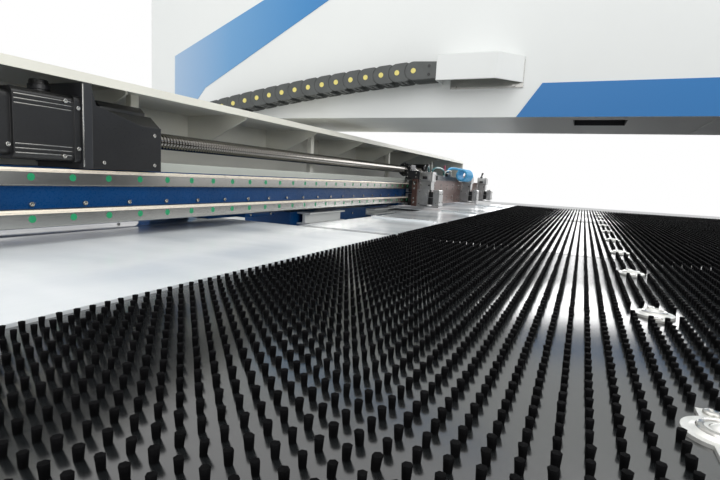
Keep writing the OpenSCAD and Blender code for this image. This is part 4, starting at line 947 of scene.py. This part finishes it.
for y, outwards, top, heights in END_PLATES:
    face = y + outwards * 2.5
    b.box(-200, 200, min(y, face), max(y, face), 420, top)
    for x in (-185, 185):
        for z in heights:
            b.socket_screw("y", (x, z), 5, face, y + outwards * 6, 1)
for x in (-190, 190):
    for y in (-2460, -1990, 1090, 1560):
        b.hexagon("z", (x, y), 30, 20, 38, 1, 1)
        b.hexagon("z", (x, y), 28, 44, 59, 1, 1)
b.done("base", "frame_white")

# Top: flange screws and rings of the hydraulic cylinder, and the turret motor's screws and fins
TURRET_MOTOR_Y, FINS, FIN_PITCH = 918, 9, 14
b = Build("top_details", M["steel"], M["dark_grey"], M["black_paint"])
for x in (-115, 115):
    for y in (-115, 115):
        b.socket_screw("z", (x, y), 11, 2190, 2200)
for k in range(8):
    b.socket_screw("z", polar((0, 0), 60, 45 * k + 22.5), 7, 2440, 2447)
for lo, hi in ((2186, 2206), (2384, 2402)):
    b.lathe("z", (0, 0), [(95, lo), (101, lo + 2), (101, hi - 2), (95, hi)], 48, 1)
for x in (-64, 64):
    for y in (TURRET_MOTOR_Y - 64, TURRET_MOTOR_Y + 64):
        b.socket_screw("z", (x, y), 8, 2260, 2268)
for k in range(FINS):
    y = TURRET_MOTOR_Y - 58 + k * FIN_PITCH
    for x in (-66.5, 64.5):
        b.box(x, x + 2, y, y + 4, 2272, 2440, 2, 0.5, 1)
b.done("base", "dark_grey")

# Ram guide and turret bearings
TURRET_AXIS = (0, TURRET_Y)
b = Build("guide_details", M["steel"], M["dark_grey"])
for x in (-125, 125):
    for y in (-125, 125):
        b.socket_screw("z", (x, y), 9, 1270, 1261)
for k in range(12):
    at = polar(TURRET_AXIS, 112, 30 * k + 15)
    b.socket_screw("z", at, 8, 1194, 1186)
    b.socket_screw("z", at, 8, 750, 758)
b.lathe("z", (0, 0), [(46, 1184), (46, 1179), (54, 1178), (58, 1182), (58, 1184)], 48, 1)
b.done("base", "dark_grey")

# Turret discs: rings of screws, and the hub on the upper and on the lower disc
UPPER_DISC_TOP, LOWER_DISC_BOTTOM = 1110.0, 790.0
b = Build("upper_disc_details", M["steel"], M["dark_steel"])
for k in range(24):
    b.socket_screw("z", polar(TURRET_AXIS, 392, 15 * k + 7.5), 7, UPPER_DISC_TOP, UPPER_DISC_TOP + 7)
z = UPPER_DISC_TOP - 8
for k in range(12):
    b.socket_screw("z", polar(TURRET_AXIS, 150, 30 * k), 10, z, z + 10)
b.lathe("z", TURRET_AXIS, [(80.5, z), (120, z), (120, z + 6), (117, z + 9), (80.5, z + 9)], 64, 1)
b.done("upper_turret", "cast")
b = Build("lower_disc_details", M["steel"], M["dark_steel"])
z = LOWER_DISC_BOTTOM
for k in range(12):
    b.socket_screw("z", polar(TURRET_AXIS, 150, 30 * k), 10, z, z - 10)
b.lathe("z", TURRET_AXIS, [(80.5, z), (120, z), (120, z - 6), (117, z - 9), (80.5, z - 9)], 64, 1)
b.done("lower_turret", "cast")

# Y drives: motor connectors, screws, rail caps, and the anchor plates of the stands and bases
MOTOR_X, MOTOR_Z, STAND_X, RAIL_CAPS, RAIL_CAP_PITCH = 900, 770, 1985, 41, 80
b = Build("y_drive_details", M["steel"], M["black_paint"], M["machine_blue"], M["cap_green"])
for side in (1, -1):
    xm = side * MOTOR_X
    for dx in (-40, 40):
        b.cyl("z", (xm + dx, -1870), 17, 830, 852, 24, 1, 2)
        b.cyl("z", (xm + dx, -1870), 13, 852, 868, 24, 1, 3)
    for dx in (-46, 46):
        for dz in (-46, 46):
            b.socket_screw("y", (xm + dx, MOTOR_Z + dz), 4, -2010, -2014)
            b.socket_screw("y", (xm + dx * 1.2, MOTOR_Z + dz * 1.2), 5, -1825, -1830)
    for y in (-1747.5, 1462.5):
        for dx in (-20, 20):
            b.socket_screw("z", (xm + dx, y), 5, 796, 801)
    for rail_x, z in ((825, 778), (STAND_X, 814)):
        for k in range(RAIL_CAPS):
            b.cyl("z", (side * rail_x, -1770 + RAIL_CAP_PITCH * k), 7, z - 0.6, z + 0.25, 12, 3, 0)
    for y in (-1750, -694, 362, 1440):
        b.box(side * (STAND_X - 60), side * (STAND_X + 60), y - 70, y + 70, 0, 12, 2, 1.5)
        for dx in (-50, 50):
            for dy in (-58, 58):
                b.hexagon("z", (side * STAND_X + dx, y + dy), 9, 12, 22)
b.done("base", "machine_blue")

# World: white where the camera and reflections see it, and a plain level of light elsewhere
WORLD_LIGHT, WORLD_COLOR = 0.62, (0.97, 0.985, 1.0, 1)
world = bpy.data.worlds.new("world")
bpy.context.scene.world = world
world.use_nodes = True
wn = world.node_tree
for n in list(wn.nodes):
    wn.nodes.remove(n)
out = wn.nodes.new("ShaderNodeOutputWorld")
bg_seen = wn.nodes.new("ShaderNodeBackground")
bg_seen.inputs["Color"].default_value = (1, 1, 1, 1)
bg_seen.inputs["Strength"].default_value = 1.0
bg_light = wn.nodes.new("ShaderNodeBackground")
bg_light.inputs["Color"].default_value = WORLD_COLOR
bg_light.inputs["Strength"].default_value = WORLD_LIGHT
lp = wn.nodes.new("ShaderNodeLightPath")
camera_or_glossy, seen = wn.nodes.new("ShaderNodeMath"), wn.nodes.new("ShaderNodeMath")
camera_or_glossy.operation = seen.operation = "MAXIMUM"
wn.links.new(lp.outputs["Is Camera Ray"], camera_or_glossy.inputs[0])
wn.links.new(lp.outputs["Is Glossy Ray"], camera_or_glossy.inputs[1])
wn.links.new(camera_or_glossy.outputs[0], seen.inputs[0])
wn.links.new(lp.outputs["Is Transmission Ray"], seen.inputs[1])
mixed = wn.nodes.new("ShaderNodeMixShader")
wn.links.new(seen.outputs[0], mixed.inputs["Fac"])
wn.links.new(bg_light.outputs[0], mixed.inputs[1])
wn.links.new(bg_seen.outputs[0], mixed.inputs[2])
wn.links.new(mixed.outputs[0], out.inputs["Surface"])


def area(name, loc, target, size, power):
    ld = bpy.data.lights.new(name, "AREA")
    ld.shape = "RECTANGLE"
    ld.size, ld.size_y = size
    ld.energy = power
    ob = bpy.data.objects.new(name, ld)
    bpy.context.scene.collection.objects.link(ob)
    ob.location = loc
    ob.rotation_euler = (Vector(target) - Vector(loc)).to_track_quat("-Z", "Y").to_euler()


area("key", (5.5, -1.5, 4.8), (0.3, -0.3, 1.3), (4, 4), 125)
area("top", (0.5, 0.5, 6.5), (0, 0, 0), (7, 7), 190)
area("far", (-7.0, 0.5, 2.6), (0, 0, 0.9), (6, 2.2), 170)
area("side", (3.2, 4.4, 2.4), (0.4, -1.1, 1.1), (4.5, 2.6), 105)

# Floor, half a millimetre under the feet
HALF, DROP = 30, 0.0005
me = bpy.data.meshes.new("floor")
me.from_pydata([(-HALF, -HALF, -DROP), (HALF, -HALF, -DROP), (HALF, HALF, -DROP), (-HALF, HALF, -DROP)], [],
               [(0, 1, 2, 3)])
me.materials.append(surface("floor_pale", (0.86, 0.86, 0.85), 0.6, 0, 1.5, 0.01, 40, 0.03, 0.0005))
floor = bpy.data.objects.new("floor", me)
bpy.context.scene.collection.objects.link(floor)

bpy.context.scene.view_settings.view_transform = "Standard"
